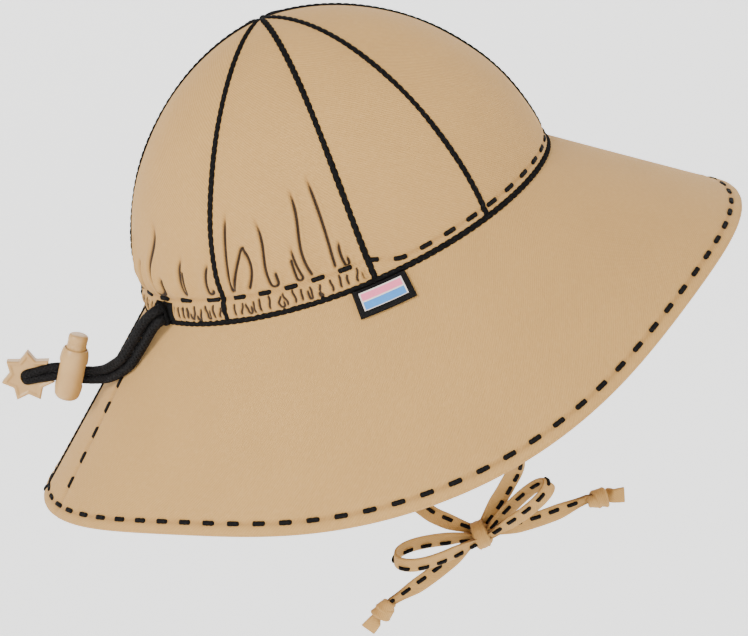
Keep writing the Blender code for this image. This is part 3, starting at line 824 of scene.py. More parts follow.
def makeBrim():
    turns, around = evenTurns(brim["columns"], 0.7)
    turn = turns[:-1, None]
    slant = slantOf(turn)
    radius = brim["wall"] / 2
    # Rows lie closer at the seam and at the rim's row of stitches
    fromRim = np.concatenate([brim["rowsNearRim"], brim["rowsAbove"]])[None, :]
    share = 1 - (radius + fromRim * (slant - radius) / brim["rowsOver"]) / slant
    share = np.concatenate([share, brim["rowsNearSeam"][None, :] / slant], axis=1)
    turn = np.broadcast_to(turn, share.shape)
    relief, paintedShade = brimRelief(turn, share)
    outward = brimOutward(turn, share)
    upper = brimPoint(turn, share) + outward * relief[..., None]
    under = brimPoint(turn, share) + outward * (relief * brim["underRelief"] - brim["wall"])[..., None]
    # Round rim between the two faces
    middle = (upper[:, 0] + under[:, 0]) / 2
    outer = unit(brimPoint(turn[:, 0], share[:, 0]) - brimPoint(turn[:, 0], share[:, 0] - 0.02))
    halfWay = (upper[:, 0] - under[:, 0]) / 2
    bend = [middle + halfWay * math.cos(angle) + outer * radius * math.sin(angle)
            for angle in np.linspace(math.pi, 0, 11)[1:-1]]
    bend = np.stack(bend, axis=1)
    rings = np.concatenate([upper[:, ::-1], bend[:, ::-1], under], axis=1)
    arc = np.linspace(0, around, len(turns))[:-1, None] / mm
    far = share * slant / mm
    rimGrain = np.broadcast_to(slant / mm, (len(rings), bend.shape[1]))
    grainY = np.concatenate([far[:, ::-1], rimGrain, far], axis=1)
    # A faint even darkening on the rim's bend, and a weaker copy of the painted shade under the brim
    paintedShade = np.concatenate([paintedShade[:, ::-1], 0 * rimGrain + 0.05, paintedShade * brim["underShade"]], axis=1)
    cloth = loft("brim_cloth", rings, "twill", stacked(arc, grainY), paintedShade, closed=True, caps=None)
    finish(cloth, "twill", "brim")
    print("brim sewn")


makeCrown()
makeBrim()

# Thread: each dash is a thick twisted strand that dives into the cloth at its ends
dashForm = {
    "flatness": 0.72,
    "roundness": 0.75,
    "ply": 0.05,
    "lay": 2.2,
    "dive": 0.9,
    "blunt": 14,
    "end": 0.04,
}
stitching = {
    "rim": {"length": 5.4 * mm, "pitch": 10.8 * mm, "width": 1.85 * mm, "rings": 17, "sides": 12},
    "band": {"length": 5.5 * mm, "pitch": 10.6 * mm, "width": 1.85 * mm, "rings": 17, "sides": 12},
    "gathered": {"length": 6.6 * mm, "pitch": 14 * mm, "width": 1.85 * mm, "rings": 19, "sides": 12},
    "back": {"length": 5.4 * mm, "pitch": 11.4 * mm, "width": 1.85 * mm, "rings": 17, "sides": 12},
    "tie": {"length": 5.2 * mm, "pitch": 8.6 * mm, "width": 1.85 * mm, "rings": 11, "sides": 9},
    "tack": {"length": 5.6 * mm, "pitch": 6.0 * mm, "width": 1.1 * mm, "rings": 11, "sides": 9},
}


def dashCentres(total, style, closed, anchor):  # anchor is the distance at which one dash has its middle
    if closed:
        count = round(total / style["pitch"])
        start = anchor % total
        start += total if start < style["length"] else 0
        return start + np.arange(count) * total / count
    low, high = style["length"] * 0.55, total - style["length"] * 0.45
    first = anchor - math.floor((anchor - low) / style["pitch"]) * style["pitch"]
    return np.arange(first, high, style["pitch"])


def alongLine(path, outward, at):  # places on a path, and its side and up ways there
    lengths = lengthsOf(path)
    middle = readLine(path, lengths, at)
    ahead = unit(readLine(path, lengths, at + 0.2 * mm) - readLine(path, lengths, at - 0.2 * mm))
    up = unit(readLine(outward, lengths, at))
    side = unit(np.cross(up, ahead))
    return middle, side, np.cross(ahead, side)


def stitchRow(name, rows, kind, lift=0.30):
    # Each row has a path, the way out of the cloth, whether it is closed, and where its dashes start
    style = stitching[kind]
    half = style["width"] / 2
    angle = circle(style["sides"])[None, None, :]
    share = np.sin(np.linspace(-math.pi / 2, math.pi / 2, style["rings"]))[None, :]
    narrow = np.sqrt(np.clip(1 - np.abs(share) ** dashForm["blunt"], dashForm["end"], 1))[..., None]
    wide = half * narrow * np.sign(np.cos(angle)) * np.abs(np.cos(angle)) ** dashForm["roundness"]
    tall = half * narrow * dashForm["flatness"] * np.sin(angle)
    rise = half * (lift - dashForm["dive"] * np.abs(share) ** 9)
    tubes = []
    for path, outward, closed, anchor in rows:
        centres = dashCentres(lengthsOf(path)[-1], style, closed, anchor)
        if closed:
            path, outward = (np.concatenate([line[:-1], line]) for line in (path, outward))
        at = centres[:, None] + share * style["length"] / 2
        middle, side, up = alongLine(path, outward, at)
        turned = angle - 2 * math.pi * at[..., None] / (dashForm["lay"] * style["width"])
        twist = 1 + dashForm["ply"] * np.cos(2 * turned)
        rings = ringsRound(middle, side, up, wide * twist, tall * twist + rise[..., None])
        tubes += [(*dash, False) for dash in zip(rings, stacked(at[..., None] / mm, angle * half / mm))]
    joined(name, tubes)


# Seams: a dark corded thread of two plies lies in the groove between the panels
seamCord = {
    "width": 3.0 * mm,
    "lay": 6.0 * mm,
    "step": 0.54 * mm,
    "sides": 12,
    "groove": 0.2,
    "sink": 0.55 * mm,
    "tipWidth": 0.55,
    "tipFrom": 7 * mm,
}


def cordedSeam(name, rows, tapered=False):
    base = circle(seamCord["sides"])[None, :]
    ply = 1 - seamCord["groove"] * (1 - np.abs(np.cos(base))) ** 1.6
    tubes = []
    for path, outward, closed in rows:
        total = lengthsOf(path)[-1]
        lays = round(total / seamCord["lay"])
        at = np.linspace(0, total, round(total / seamCord["step"]) + 1)[:-1 if closed else None]
        if closed:
            path, outward = (np.concatenate([line[-3:-1], line, line[1:3]]) for line in (path, outward))
            at = at + lengthsOf(path)[2]
        angle = base + (2 * math.pi * lays * at / total)[:, None]
        radius = seamCord["width"] / 2 * ply
        if tapered:
            toTip = ramp((total - at) / seamCord["tipFrom"])[:, None]
            radius = radius * mixed(seamCord["tipWidth"], 1, toTip)
        across, high = radius * np.cos(angle), radius * np.sin(angle) - seamCord["sink"]
        rings = ringsRound(*alongLine(path, outward, at), across, high)
        tubes.append((rings, stacked(at[:, None] / mm, base * seamCord["width"] / 2 / mm), closed))
    joined(name, tubes)


def crownPath(turns, heights):
    return dome(turns, heights), domeOutward(turns, heights)


def reliefAt(turns, heights):  # the cloth's own relief along a line over the gores
    values = np.zeros_like(turns)
    for panel in panels:
        share = shareOf(panel, turns)
        inside = (share >= 0) & (share <= 1)
        if inside.any():
            values[inside] = crownRelief(panel, share[inside], turns[inside], heights[inside])[0]
    return values


def makeCrownThreads():
    seams = []
    rows = heightAt(np.linspace(0.003, tipAngle(0.5 * mm), 170))
    starts = [panel["start"] for panel in panels[1:]]
    for turn in (0, 180, *starts, *(-start for start in starts)):
        turns = np.full_like(rows, float(turn))
        path, outward = crownPath(turns, rows)
        seams.append((path + outward * np.minimum(reliefAt(turns, rows), 0)[:, None], outward, False))
    cordedSeam("gore_seams", seams, tapered=True)
    turns = np.linspace(-180, 180, 721)
    path, outward = crownPath(turns, turns * 0)
    pulled = np.minimum(reliefAt(turns, turns * 0 + 0.6 * mm), 0)
    path = path + outward * (pulled * 0.5 + 0.2 * mm)[:, None] + np.array([0, 0, -0.15 * mm])
    cordedSeam("brim_seam", [(path, outward, True)])
    # The dashes rest on the highest folds near them, and those over the gathers are longer
    gatheredFrom = panels[3]["start"]
    for kind, low, high, anchorTurn in (
            ("band", -gatheredFrom, gatheredFrom, bandRow["anchorTurn"]),
            ("gathered", gatheredFrom - 360, -gatheredFrom, bandRow["gatheredAnchor"])):
        line = np.linspace(low + 0.8, high - 0.8, 540)
        turns = np.where(line < -180, line + 360, line)
        heights = bandRowHeight(turns)
        relief = np.pad(reliefAt(turns, heights), 6, mode="edge")
        near = np.stack([relief[shift:shift + len(line)] for shift in range(13)]).max(axis=0)
        path, outward = crownPath(turns, heights)
        path = path + outward * smoothed(near, 8)[:, None]
        anchor = np.interp(anchorTurn, line, lengthsOf(path))
        stitchRow(f"{kind}_stitches", [(path, outward, False, anchor)], kind)


def brimPath(turns, shares, under=False):
    outward = brimOutward(turns, shares)
    height = brimRelief(turns, shares)[0]
    if under:
        height = height * brim["underRelief"] - brim["wall"]
    return brimPoint(turns, shares) + outward * height[:, None], -outward if under else outward


def makeBrimThreads():
    shares = 1 - brim["rimRow"] / slantOf(rimTurns)
    for name, under, shift in (("rim_stitches", False, 0), ("rim_stitches_under", True, 0.5)):
        path, outward = brimPath(rimTurns, shares, under)
        lengths = lengthsOf(path)
        anchor = np.interp(rimRow["anchorTurn"], rimTurns, lengths) + shift * lengths[-1] / rimCount
        stitchRow(name, [(path, outward, True, anchor)], "rim", lift=0.4)
    share = np.linspace(0.04, 0.93, 120)
    search = np.linspace(120, 180, 241)
    turns = np.array([
        np.interp(-backRowDistance(part), -brimPoint(search, part + 0 * search)[:, 1], search)
        for part in share])
    rows = []
    for side in (1, -1):
        path, outward = brimPath(side * turns, share)
        rows.append((path, outward, False, np.interp(brim["backDashShare"], share, lengthsOf(path))))
    stitchRow("back_stitches", rows, "back", lift=0.4)
    seam = np.linspace(0.02, 0.985, 120)
    path, outward = brimPath(np.full_like(seam, 180.0), seam)
    cordedSeam("back_seam", [(path + outward * 0.5 * mm, outward, False)])


makeCrownThreads()
makeBrimThreads()
print("seams and stitches sewn")


# Lines for cords and straps, through listed points, read at even distances
def smoothLine(route, spacing):
    points = np.array(route, float) * mm
    points = np.concatenate([[points[0] * 2 - points[1]], points, [points[-1] * 2 - points[-2]]])
    fine = []
    for before, start, end, after in zip(points, points[1:], points[2:], points[3:]):
        share = np.linspace(0, 1, 25)[:-1, None]
        bend = (before * 2 - start * 5 + end * 4 - after) * share**2
        twist = (start * 3 - before - end * 3 + after) * share**3
        fine.append((start * 2 + (end - before) * share + bend + twist) / 2)
    fine = np.concatenate(fine + [points[-2:-1]])
    lengths = lengthsOf(fine)
    count = math.ceil(lengths[-1] / spacing)
    return readLine(fine, lengths, np.linspace(0, lengths[-1], count + 1))


def headingsOf(line):
    steps = unit(np.diff(line, axis=0))
    return unit(np.concatenate([steps[:1], steps[:-1] + steps[1:], steps[-1:]]))


# Drawcord: two strands of braided elastic, side by side from the casing to the star
cord = {
    "diameter": 3.6 * mm,
    "pitch": 3.9 * mm,
    "spacing": 0.4 * mm,
    "sides": 20,
    "braid": 0.10 * mm,
    "braidPitch": 2.6 * mm,
    "freeRadius": 2.15 * mm,
    "heldRadius": 1.85 * mm,
    "freePitch": 4.2 * mm,
    "heldPitch": 3.75 * mm,
    "tipPitch": 2.4 * mm,
    "freeFrom": (27 * mm, 42 * mm),
    "tipFrom": 12 * mm,
    "inCloth": 1.8 * mm,
    "route": [
        (-78.8, -33.8, 3.0),
        (-82.1, -35.7, 3.1),
        (-85.8, -34.4, 1.4),
        (-89.8, -32.4, -1.8),
        (-93.8, -30.2, -5.3),
        (-97.8, -28.0, -8.6),
        (-101.8, -26.0, -11.6),
        (-107.3, -21.0, -14.4),
        (-112.4, -17.0, -15.9),
        (-117.6, -14.2, -15.4),
        (-122.2, -14.0, -13.1),
        (-125.3, -14.0, -10.9),
        (-128.5, -14.0, -8.8),
        (-133.1, -14.0, -7.0),
        (-144.6, -14.0, -4.8),
    ],
}


def stackWays(headings):
    return unit(stacked(headings[:, 2], 0, -headings[:, 0]))


def freeShare(fromEnd):  # 1 where the strands run free, 0 where the lock and the star hold them
    low, high = cord["freeFrom"]
    return ramp((fromEnd - low) / (high - low))


def pitchOf(fromEnd):
    held = mixed(cord["tipPitch"], cord["heldPitch"], ramp(fromEnd / cord["tipFrom"]))
    return held + (cord["freePitch"] - cord["heldPitch"]) * freeShare(fromEnd)


def makeStrand(name, line):
    along = lengthsOf(line)[:, None]
    fromEnd = along[-1] - along
    angle = circle(cord["sides"])[None, :]
    phase = 2 * math.pi * along / cord["braidPitch"]
    weave = np.maximum(np.cos(4 * angle + phase), np.cos(4 * angle - phase))
    radius = mixed(cord["heldRadius"], cord["freeRadius"], freeShare(fromEnd))
    tip = np.sqrt(1 - np.clip(1 - fromEnd / radius, 0, 0.995) ** 2)
    radius = (radius - cord["braid"] + cord["braid"] * weave) * tip
    sideways = np.cross(cordHeadings, cordWays)
    rings = ringsRound(line, cordWays, sideways, radius * np.cos(angle), radius * np.sin(angle))
    return loft(name, rings, "elastic", stacked(along / mm, angle * cord["diameter"] / 2 / mm))


# The route as it was chosen, a short way into the cloth, and closer rings at the tip
cordLine = smoothLine(cord["route"], cord["spacing"])
intoCloth = unit(cordLine[0] - cordLine[1]) * np.array([[3], [2], [1]]) / 3 * cord["inCloth"]
tipShares = np.array([0.35, 0.6, 0.8])[:, None]
cordLine = np.concatenate([
    cordLine[0] + intoCloth, cordLine[:-1],
    cordLine[-2] + (cordLine[-1] - cordLine[-2]) * tipShares, cordLine[-1:]])
cordHeadings = headingsOf(cordLine)
cordWays = stackWays(cordHeadings)


def beforeEnd(distance):  # place and heading on the drawcord
    lengths = lengthsOf(cordLine)
    at = lengths[-1] - distance
    place, ahead = (readLine(cordLine, lengths, np.array([far]))[0] for far in (at, at + 0.3 * mm))
    return Vector(place), Vector(unit(ahead - place))


# Plastic pieces: a cut shape is refined to even small faces and smoothed, which rounds its moulded edges
def moulded(name, source, cutter, voxel, smoothing, body, node):
    cut = source.modifiers.new("cut", "BOOLEAN")
    cut.operation = "DIFFERENCE"
    cut.solver = "EXACT"
    cut.object = cutter
    remesh = source.modifiers.new("even", "REMESH")
    remesh.mode = "VOXEL"
    remesh.voxel_size = voxel
    soften = source.modifiers.new("soften", "SMOOTH")
    soften.factor = 0.5
    soften.iterations = smoothing
    bpy.context.view_layer.update()
    graph = bpy.context.evaluated_depsgraph_get()
    mesh = bpy.data.meshes.new_from_object(source.evaluated_get(graph))
    mesh.transform(source.matrix_world)
    mesh.name = name
    for thing in (source, cutter):
        bpy.data.objects.remove(thing)
    mesh.materials.clear()
    mesh.materials.append(materials["plastic"])
    mesh.shade_smooth()
    finish(inScene(name, mesh), "tan_plastic", node, body=body)


def facing(xWay, zWay, place):
    return Matrix.Translation(place) @ Matrix((xWay, zWay.cross(xWay), zWay)).transposed().to_4x4()


def shapeOf(name, rings, matrix):
    made = loft(name, rings, "plastic")
    made.matrix_world = matrix
    return made


def boxShape(name, low, high, matrix):
    mesh = bpy.data.meshes.new(name)
    box = bmesh.new()
    bmesh.ops.create_cube(box, size=1)
    for corner in box.verts:
        corner.co = Vector([mixed(a, b, c + 0.5) for a, b, c in zip(low, high, corner.co)])
    box.to_mesh(mesh)
    box.free()
    made = inScene(name, mesh)
    made.matrix_world = matrix
    return made


# The barrel's foot and mouth and the button's top are turned curves, in shares of a radius and a height
lock = {
    "fromEnd": 20 * mm,
    "radius": 5.7 * mm,
    "wall": 1.4 * mm,
    "above": 10.6 * mm,
    "below": 11.5 * mm,
    "proud": 6.2 * mm,
    "travel": 3 * mm,
    "foot": 1.2 * mm,
    "clearance": 0.9 * mm,
    "gap": 0.3 * mm,
    "axis": 0.02 * mm,
    "footCurve": [
        (0.36, 0.99), (0.62, 0.955), (0.78, 0.89), (0.88, 0.8), (0.95, 0.58), (0.99, 0.33), (1, 0.1)],
    "mouthCurve": [(1, 0.6), (0.975, 0.76), (0.93, 0.88), (0.88, 0.97), (0.84, 1)],
    "topCurve": [(0.98, 0.3), (0.92, 0.16), (0.75, 0.07), (0.4, 0)],
    "neck": 1.2 * mm,
    "ribs": 2,
    "ribFrom": 1.6 * mm,
    "ribPitch": 1.1 * mm,
    "ribWidth": 0.35 * mm,
    "ribDepth": 0.22 * mm,
    "sides": 64,
    "voxel": 0.3 * mm,
}
pairHalf = (cord["pitch"] + cord["diameter"]) / 2 + lock["clearance"]
cordHalf = cord["diameter"] / 2 + lock["gap"]


def makeLock():
    centre, heading = beforeEnd(lock["fromEnd"])
    matrix = facing(heading, Vector(stackWays(np.array([heading]))[0]), centre)
    above, below, radius, axis = (lock[key] for key in ("above", "below", "radius", "axis"))
    bore = radius - lock["wall"]
    foot = -pairHalf - lock["foot"]
    floor = foot - lock["travel"] - lock["gap"]
    barrel = [(axis, -below)]
    barrel += [(radius * wide, -below * deep) for wide, deep in lock["footCurve"]]
    barrel += [(radius * wide, above * high) for wide, high in lock["mouthCurve"]]
    barrel += [(bore, above), (bore, floor), (axis, floor)]
    stem = bore - lock["gap"]
    notch = stem - lock["ribDepth"]
    top = above + lock["proud"]
    button = [(axis, foot), (stem, foot), (stem, above + lock["neck"])]
    for rib in range(lock["ribs"]):
        low = above + lock["ribFrom"] + rib * lock["ribPitch"]
        button += [(notch, low), (notch, low + lock["ribWidth"]), (stem, low + 2 * lock["ribWidth"])]
    button += [(stem * wide, top - stem * down) for wide, down in lock["topCurve"]]
    button.append((axis, top))
    far = radius * 2
    for name, profile, slotTop, smoothing, body, node in (
            ("lock_barrel", barrel, pairHalf, 5, "hat", "cord_lock_barrel"),
            ("lock_button_cap", button, pairHalf + lock["travel"], 3, "lock_button", "cord_lock_button")):
        shape = shapeOf("turned", ringsOf(profile, lock["sides"]), matrix)
        slot = boxShape("slot", (-far, -cordHalf, -pairHalf), (far, cordHalf, slotTop), matrix)
        moulded(name, shape, slot, lock["voxel"], smoothing, body, node)


star = {
    "radius": 10.8 * mm,
    "valley": 7.4 * mm,
    "points": 7,
    "turnDegrees": 77,
    "wall": 4.9 * mm,
    "floor": 2 * mm,
    "grip": 2.6 * mm,
    "dish": 0.5 * mm,
    "corner": 0.7 * mm,
    "grooveGap": 0.15 * mm,
    "play": 0.3 * mm,
    "voxel": 0.26 * mm,
}


def starOutline(scale):
    # Straight edges run from each point to the valleys beside it
    corner = np.arange(star["points"] * 2 + 1)
    angle = math.radians(star["turnDegrees"]) + corner * math.pi / star["points"]
    radius = np.where(corner % 2, star["valley"], star["radius"]) * scale
    fine = np.linspace(0, corner[-1], corner[-1] * 10, endpoint=False)
    x, y = (np.interp(fine, corner, radius * way(angle)) for way in (np.cos, np.sin))
    return stacked(x, y, 0)


def makeStar():
    centre, heading = beforeEnd(star["grip"])
    stack = Vector(stackWays(np.array([heading]))[0])
    matrix = facing(-heading, (-heading).cross(stack), centre)
    back = -cordHalf - star["floor"]
    front = back + star["wall"]
    # A raised edge runs round both faces: shares of the outline, and how far they lie inside the faces
    edge = [(0.02, star["dish"]), (0.74, star["dish"]), (0.84, 0), (0.94, 0), (1.0, star["corner"])]
    rows = [(scale, back + into) for scale, into in edge]
    rows += [(scale, front - into) for scale, into in edge[::-1]]
    rings = np.stack([starOutline(scale) + np.array([0, 0, height]) for scale, height in rows])
    body = shapeOf("star", rings, matrix)
    # The groove fits the pair and ends round
    around = cord["heldRadius"] + star["grooveGap"]
    inner, outer = (pitchOf(far) / 2 + around for far in (0.0, star["radius"]))
    deep = star["grip"] + star["play"]
    outline = [(inner * 0.9 * (1 + math.cos(a)) - deep, inner * math.sin(a))
               for a in np.linspace(math.pi / 2, 3 * math.pi / 2, 13)]
    outline += [(star["radius"] * 2, -outer), (star["radius"] * 2, outer)]
    levels = (-cordHalf, front + star["wall"])
    groove = shapeOf("groove", np.array([[(x, y, z) for x, y in outline] for z in levels]), matrix)
    moulded("star_fob", body, groove, star["voxel"], 4, "hat", "star_end")


makeLock()
makeStar()
cordFromEnd = (lengthsOf(cordLine)[-1] - lengthsOf(cordLine))[:, None]
for name, shift in (("upper", 0.5), ("lower", -0.5)):
    strandLine = cordLine + cordWays * pitchOf(cordFromEnd) * shift
    strand = finish(makeStrand(f"elastic_{name}", strandLine), "elastic", f"drawcord_{name}")


def makeButtonhole():
    across = np.linspace(-1, 1, buttonhole["columns"])[None, :]
    upward = np.linspace(-1, 1, buttonhole["rows"])[:, None]
    height = buttonhole["height"] + buttonhole["halfTall"] * upward + 0 * across
    perDegree = float(stretch(buttonhole["turn"], buttonhole["height"]))
    turn = buttonhole["turn"] + across * buttonhole["halfWide"] / perDegree + 0 * upward
    relief = crownRelief(panels[3], shareOf(panels[3], turn), turn, height)[0]
    body = (1 - np.abs(across) ** 10) ** 0.5 * (1 - np.abs(upward) ** 6) ** 0.5
    rib = np.cos(2 * math.pi * across * buttonhole["halfWide"] / buttonhole["ribPitch"])
    thick = (buttonhole["thickness"] + buttonhole["ribDepth"] * rib) * body
    base, outward = dome(turn, height), domeOutward(turn, height)
    levels = (relief + thick, relief - buttonhole["sunk"])
    outer, inner = (base + outward * level[..., None] for level in levels)
    grain = stacked(across * buttonhole["halfWide"] / mm, upward * buttonhole["halfTall"] / mm)
    made = loft("buttonhole", bothFaces(outer, inner), "thread", bothFaces(grain, grain), caps="wall")
    finish(made, None)


# A raised lip of the same thread hugs both strands as they come out
eyelet = {
    "along": 2.6 * mm,
    "rise": 0.9 * mm,
    "width": 1.7 * mm,
    "rib": 0.12 * mm,
    "ribs": 46,
    "tight": 0.1 * mm,
    "sides": 14,
}


def makeEyelet():
    centre = readLine(cordLine, lengthsOf(cordLine), np.array([eyelet["along"]]))[0]
    heading, up = cordHeadings[4], cordWays[4]
    halfLong, radius = cord["freePitch"] / 2, cord["freeRadius"] - eyelet["tight"]
    lap = 2 * halfLong + math.pi * radius
    part = np.linspace(0, 2 * lap, eyelet["ribs"] * 4, endpoint=False)[:, None]
    side = np.where(part < lap, 1, -1)
    angle = np.maximum(part % lap - 2 * halfLong, 0) / radius
    way = side * (np.cross(heading, up) * np.cos(angle) + up * np.sin(angle))
    middle = centre + up * side * np.minimum(part % lap - halfLong, halfLong) + way * radius
    rib = eyelet["rib"] * np.cos(math.pi * part / lap * eyelet["ribs"])
    turn = circle(eyelet["sides"])[None, :]
    out = (eyelet["rise"] / 2 + rib) * (1 + np.sin(turn))
    rings = ringsRound(middle, way, heading, out, (eyelet["width"] / 2 + rib) * np.cos(turn))
    finish(loft("cord_eyelet", rings, "thread", stacked(part / mm, turn), closed=True, caps=None), None)


makeButtonhole()
makeEyelet()
print("drawcord, lock and star made")

# Label: a folded woven loop in the seam, dark at its edge, with a pink and a blue band on a pale ground
label = {
    "turn": -88.7,
    "width": 21 * mm,
    "length": 10.5 * mm,
    "wall": 1.2 * mm,
    "drop": 1.2 * mm,
    "gap": 0.3 * mm,
    "edge": 2.2 * mm,
    "bands": {"labelPink": (1.7 * mm, 4.6 * mm), "labelBlue": (5.0 * mm, 7.9 * mm)},
    "bandInset": 2.8 * mm,
    "bow": 0.35 * mm,
    "rounding": 0.35 * mm,
    "roundOver": 0.5 * mm,
    "hem": 0.12 * mm,
    "hemFrom": 0.1 * mm,
    "columns": 84,
    "rows": 42,
}


def makeLabel():
    halfTurn = math.degrees(label["width"] / crown["length"])
    slant = float(slantOf(np.array(label["turn"])))
    across = np.linspace(-0.5, 0.5, label["columns"] + 1)[None, :]
    down = np.linspace(0, label["length"], label["rows"] + 1)[:, None]
    turn, drop = np.broadcast_arrays(label["turn"] + 2 * halfTurn * across, down)
    share = (label["drop"] + drop) / slant
    outward = brimOutward(turn, share)
    bow = label["bow"] * np.sin(math.pi * drop / label["length"]) * np.cos(math.pi * across)
    edge = np.minimum(np.minimum(across + 0.5, 0.5 - across) * label["width"], label["length"] - drop)
    rounding = label["rounding"] * np.clip(1 - edge / label["roundOver"], 0, 1) ** 2
    ridge = label["hem"] * ((edge > label["hemFrom"]) & (edge < label["edge"]))
    height = label["gap"] + label["wall"] + bow + ridge - rounding
    outer = brimPoint(turn, share) + outward * height[..., None]
    inner = brimPoint(turn, share) + outward * (label["gap"] + bow * 0.5 + rounding)[..., None]
    grain = stacked(across * label["width"] / mm, drop / mm)
    paints = ["labelGround", "labelEdge", *label["bands"]]
    made = loft("label_loop", bothFaces(outer, inner), paints, bothFaces(grain, grain), caps="wall")
    around = (label["columns"] + 1) * 2
    for face in made.data.polygons:
        column = sum(min(v % around, around - 1 - v % around) for v in face.vertices) / 4
        row = sum(v // around for v in face.vertices) / 4
        fromSide = min(column, label["columns"] - column) / label["columns"] * label["width"]
        fromTop = row / label["rows"] * label["length"]
        fromFoot = label["length"] - fromTop
        if min(fromSide, fromFoot, fromTop + label["edge"] * 0.4) < label["edge"]:
            face.material_index = 1
            continue
        for index, (low, high) in enumerate(label["bands"].values()):
            if low < fromTop < high and fromSide > label["bandInset"]:
                face.material_index = 2 + index
    finish(made, "label_cloth", "label")
    print("label sewn in")


makeLabel()


# Straps: flat folded cloth with a row of stitches near one edge
strap = {
    "width": 7.5 * mm,
    "wall": 1.6 * mm,
    "pinch": 0.55,
    "sides": 28,
    "spacing": 1.1 * mm,
    "rowInset": 2.3 * mm,
    "firstDash": 5 * mm,
    "tacks": (3 * mm, 8.5 * mm),
    "corrugation": 0.55 * mm,
    "folds": 3,
    # Strength of the painted shade in the fold valleys
    "foldShade": 1.2,
    "edgeRound": 0.45,
    "faceRound": 0.75,
    "edgeSwell": 0.10,
    "right": [
        (0.0, -68.4, 2.0),
        (1.2, -68.6, -10.0),
        (7.0, -63.0, -38.0),
        (17.0, -48.0, -76.0),
        (25.0, -27.0, -108.0),
        (26.5, -9.0, -127.0),
        (19.5, -0.5, -139.0),
        (11.0, 2.8, -147.5),
        (4.7, 3.2, -152.6),
        (2.4, 1.7, -154.6),
    ],
    "left": [
        (0.0, 68.4, 2.0),
        (-1.2, 68.6, -10.0),
        (-7.0, 63.0, -38.0),
        (-15.0, 50.0, -78.0),
        (-20.5, 32.0, -112.0),
        (-21.5, 18.0, -131.5),
        (-17.0, 10.0, -140.6),
        (-10.6, 5.4, -146.6),
        (-2.9, 3.2, -153.0),
        (-0.6, 1.7, -154.7),
    ],
}
bow = {
    "knotPlace": (1.0, 0.0, -155.8),
    "knotHeight": 13 * mm,
    "knotDepth": 12 * mm,
    "coreSize": np.array([9.6, 8.8, 9.6]) * mm,
    "coreFold": 0.07,
    # Even painted shade on the gathered lump inside the wrap
    "coreShade": 0.35,
    "rootInside": 2.5 * mm,
    "loopRoot": 1.1 * mm,
    "loopForward": 12,
    "loopTilt": 19,
    "loopLayer": -2.8 * mm,
    "tailLayer": 1.3 * mm,
    "tailSag": 1.6 * mm,
    "sides": [
        {"name": "front", "side": 1, "loopRise": 24.5, "loopReach": 39.0 * mm, "loopSpread": 7.0 * mm,
         "tailRise": -5.1, "tailReach": 48.5 * mm},
        {"name": "back", "side": -1, "loopRise": 15.2, "loopReach": 40.3 * mm, "loopSpread": 10.5 * mm,
         "tailRise": -16.1, "tailReach": 49.5 * mm},
    ],
}


def pinched(fromKnot):
    return strap["width"] * mixed(strap["pinch"], 1, ramp(fromKnot / (strap["width"] * 2)))


def acrossWays(headings):  # ways across a strap whose faces look to the side
    return unit(np.cross(headings, (0, 1, 0)))


def makeStrap(name, node, line, widths, ways, fullWidth=strap["width"], wall=strap["wall"]):
    # Where a strap is narrower than it was cut, it folds lengthwise
    headings = headingsOf(line)
    ways = unit(ways - headings * (ways * headings).sum(-1, keepdims=True))
    normals = np.cross(headings, ways)
    angle = circle(strap["sides"])[None, :]
    flat = np.sign(np.cos(angle)) * np.abs(np.cos(angle)) ** strap["edgeRound"]
    high = np.sign(np.sin(angle)) * np.abs(np.sin(angle)) ** strap["faceRound"]
    tight = np.clip(1 - widths / fullWidth, 0, 1)[:, None]
    fold = np.cos(strap["folds"] * math.pi * flat)
    thick = wall / 2 * high * (0.92 - strap["edgeSwell"] * np.cos(math.pi * flat))
    thick = thick + 2 * strap["corrugation"] * tight * fold
    rings = ringsRound(line, ways, normals, widths[:, None] / 2 * flat, thick)
    grain = stacked(lengthsOf(line)[:, None] / mm, flat * fullWidth / 2 / mm + 20 * (high > 0))
    # Painted shade in the valleys of the lengthwise folds
    paintedShade = np.clip(tight * strap["foldShade"] * (0.5 - 0.5 * fold), 0, 1)
    return finish(loft(name, rings, "twill", grain, paintedShade), "twill", node), ways, normals


def sewnStrap(name, node, line, fromKnot, ways, rowSide=1):
    # A row of stitches lies near one edge, on both faces
    widths = pinched(fromKnot)
    made, ways, normals = makeStrap(name, node, line, widths, ways)
    inset = np.minimum(strap["rowInset"], widths * 0.3)
    edge = line + ways * (rowSide * (widths / 2 - inset))[:, None]
    for face in (1, -1):
        tieRows.append((edge + normals * (face * strap["wall"] / 2 * 0.96), normals * face, False,
                        strap["firstDash"]))
    return made, ways, normals


def makeTies():
    made, tacks = {}, []
    for side in ("right", "left"):
        line = smoothLine(strap[side], strap["spacing"])
        lengths = lengthsOf(line)
        tie, ways, normals = sewnStrap(f"tie_{side}", f"chin_tie_{side}", line, lengths[-1] - lengths,
                                       acrossWays(headingsOf(line)))
        # Two bars of thread hold the strap's top to the seam
        inward = -1 if normals[0] @ line[0] > 0 else 1
        for far in strap["tacks"]:
            place = int(round(far / strap["spacing"]))
            bar = np.linspace(-0.45, 0.45, 12)[:, None] * strap["width"] * ways[place]
            bar = line[place] + bar + normals[place] * inward * strap["wall"] / 2
            tacks.append((bar, np.tile(normals[place] * inward, (12, 1)), False, strap["width"] * 0.45))
        made[side] = (tie, line)
    stitchRow("tie_tacks", tacks, "tack")
    return made


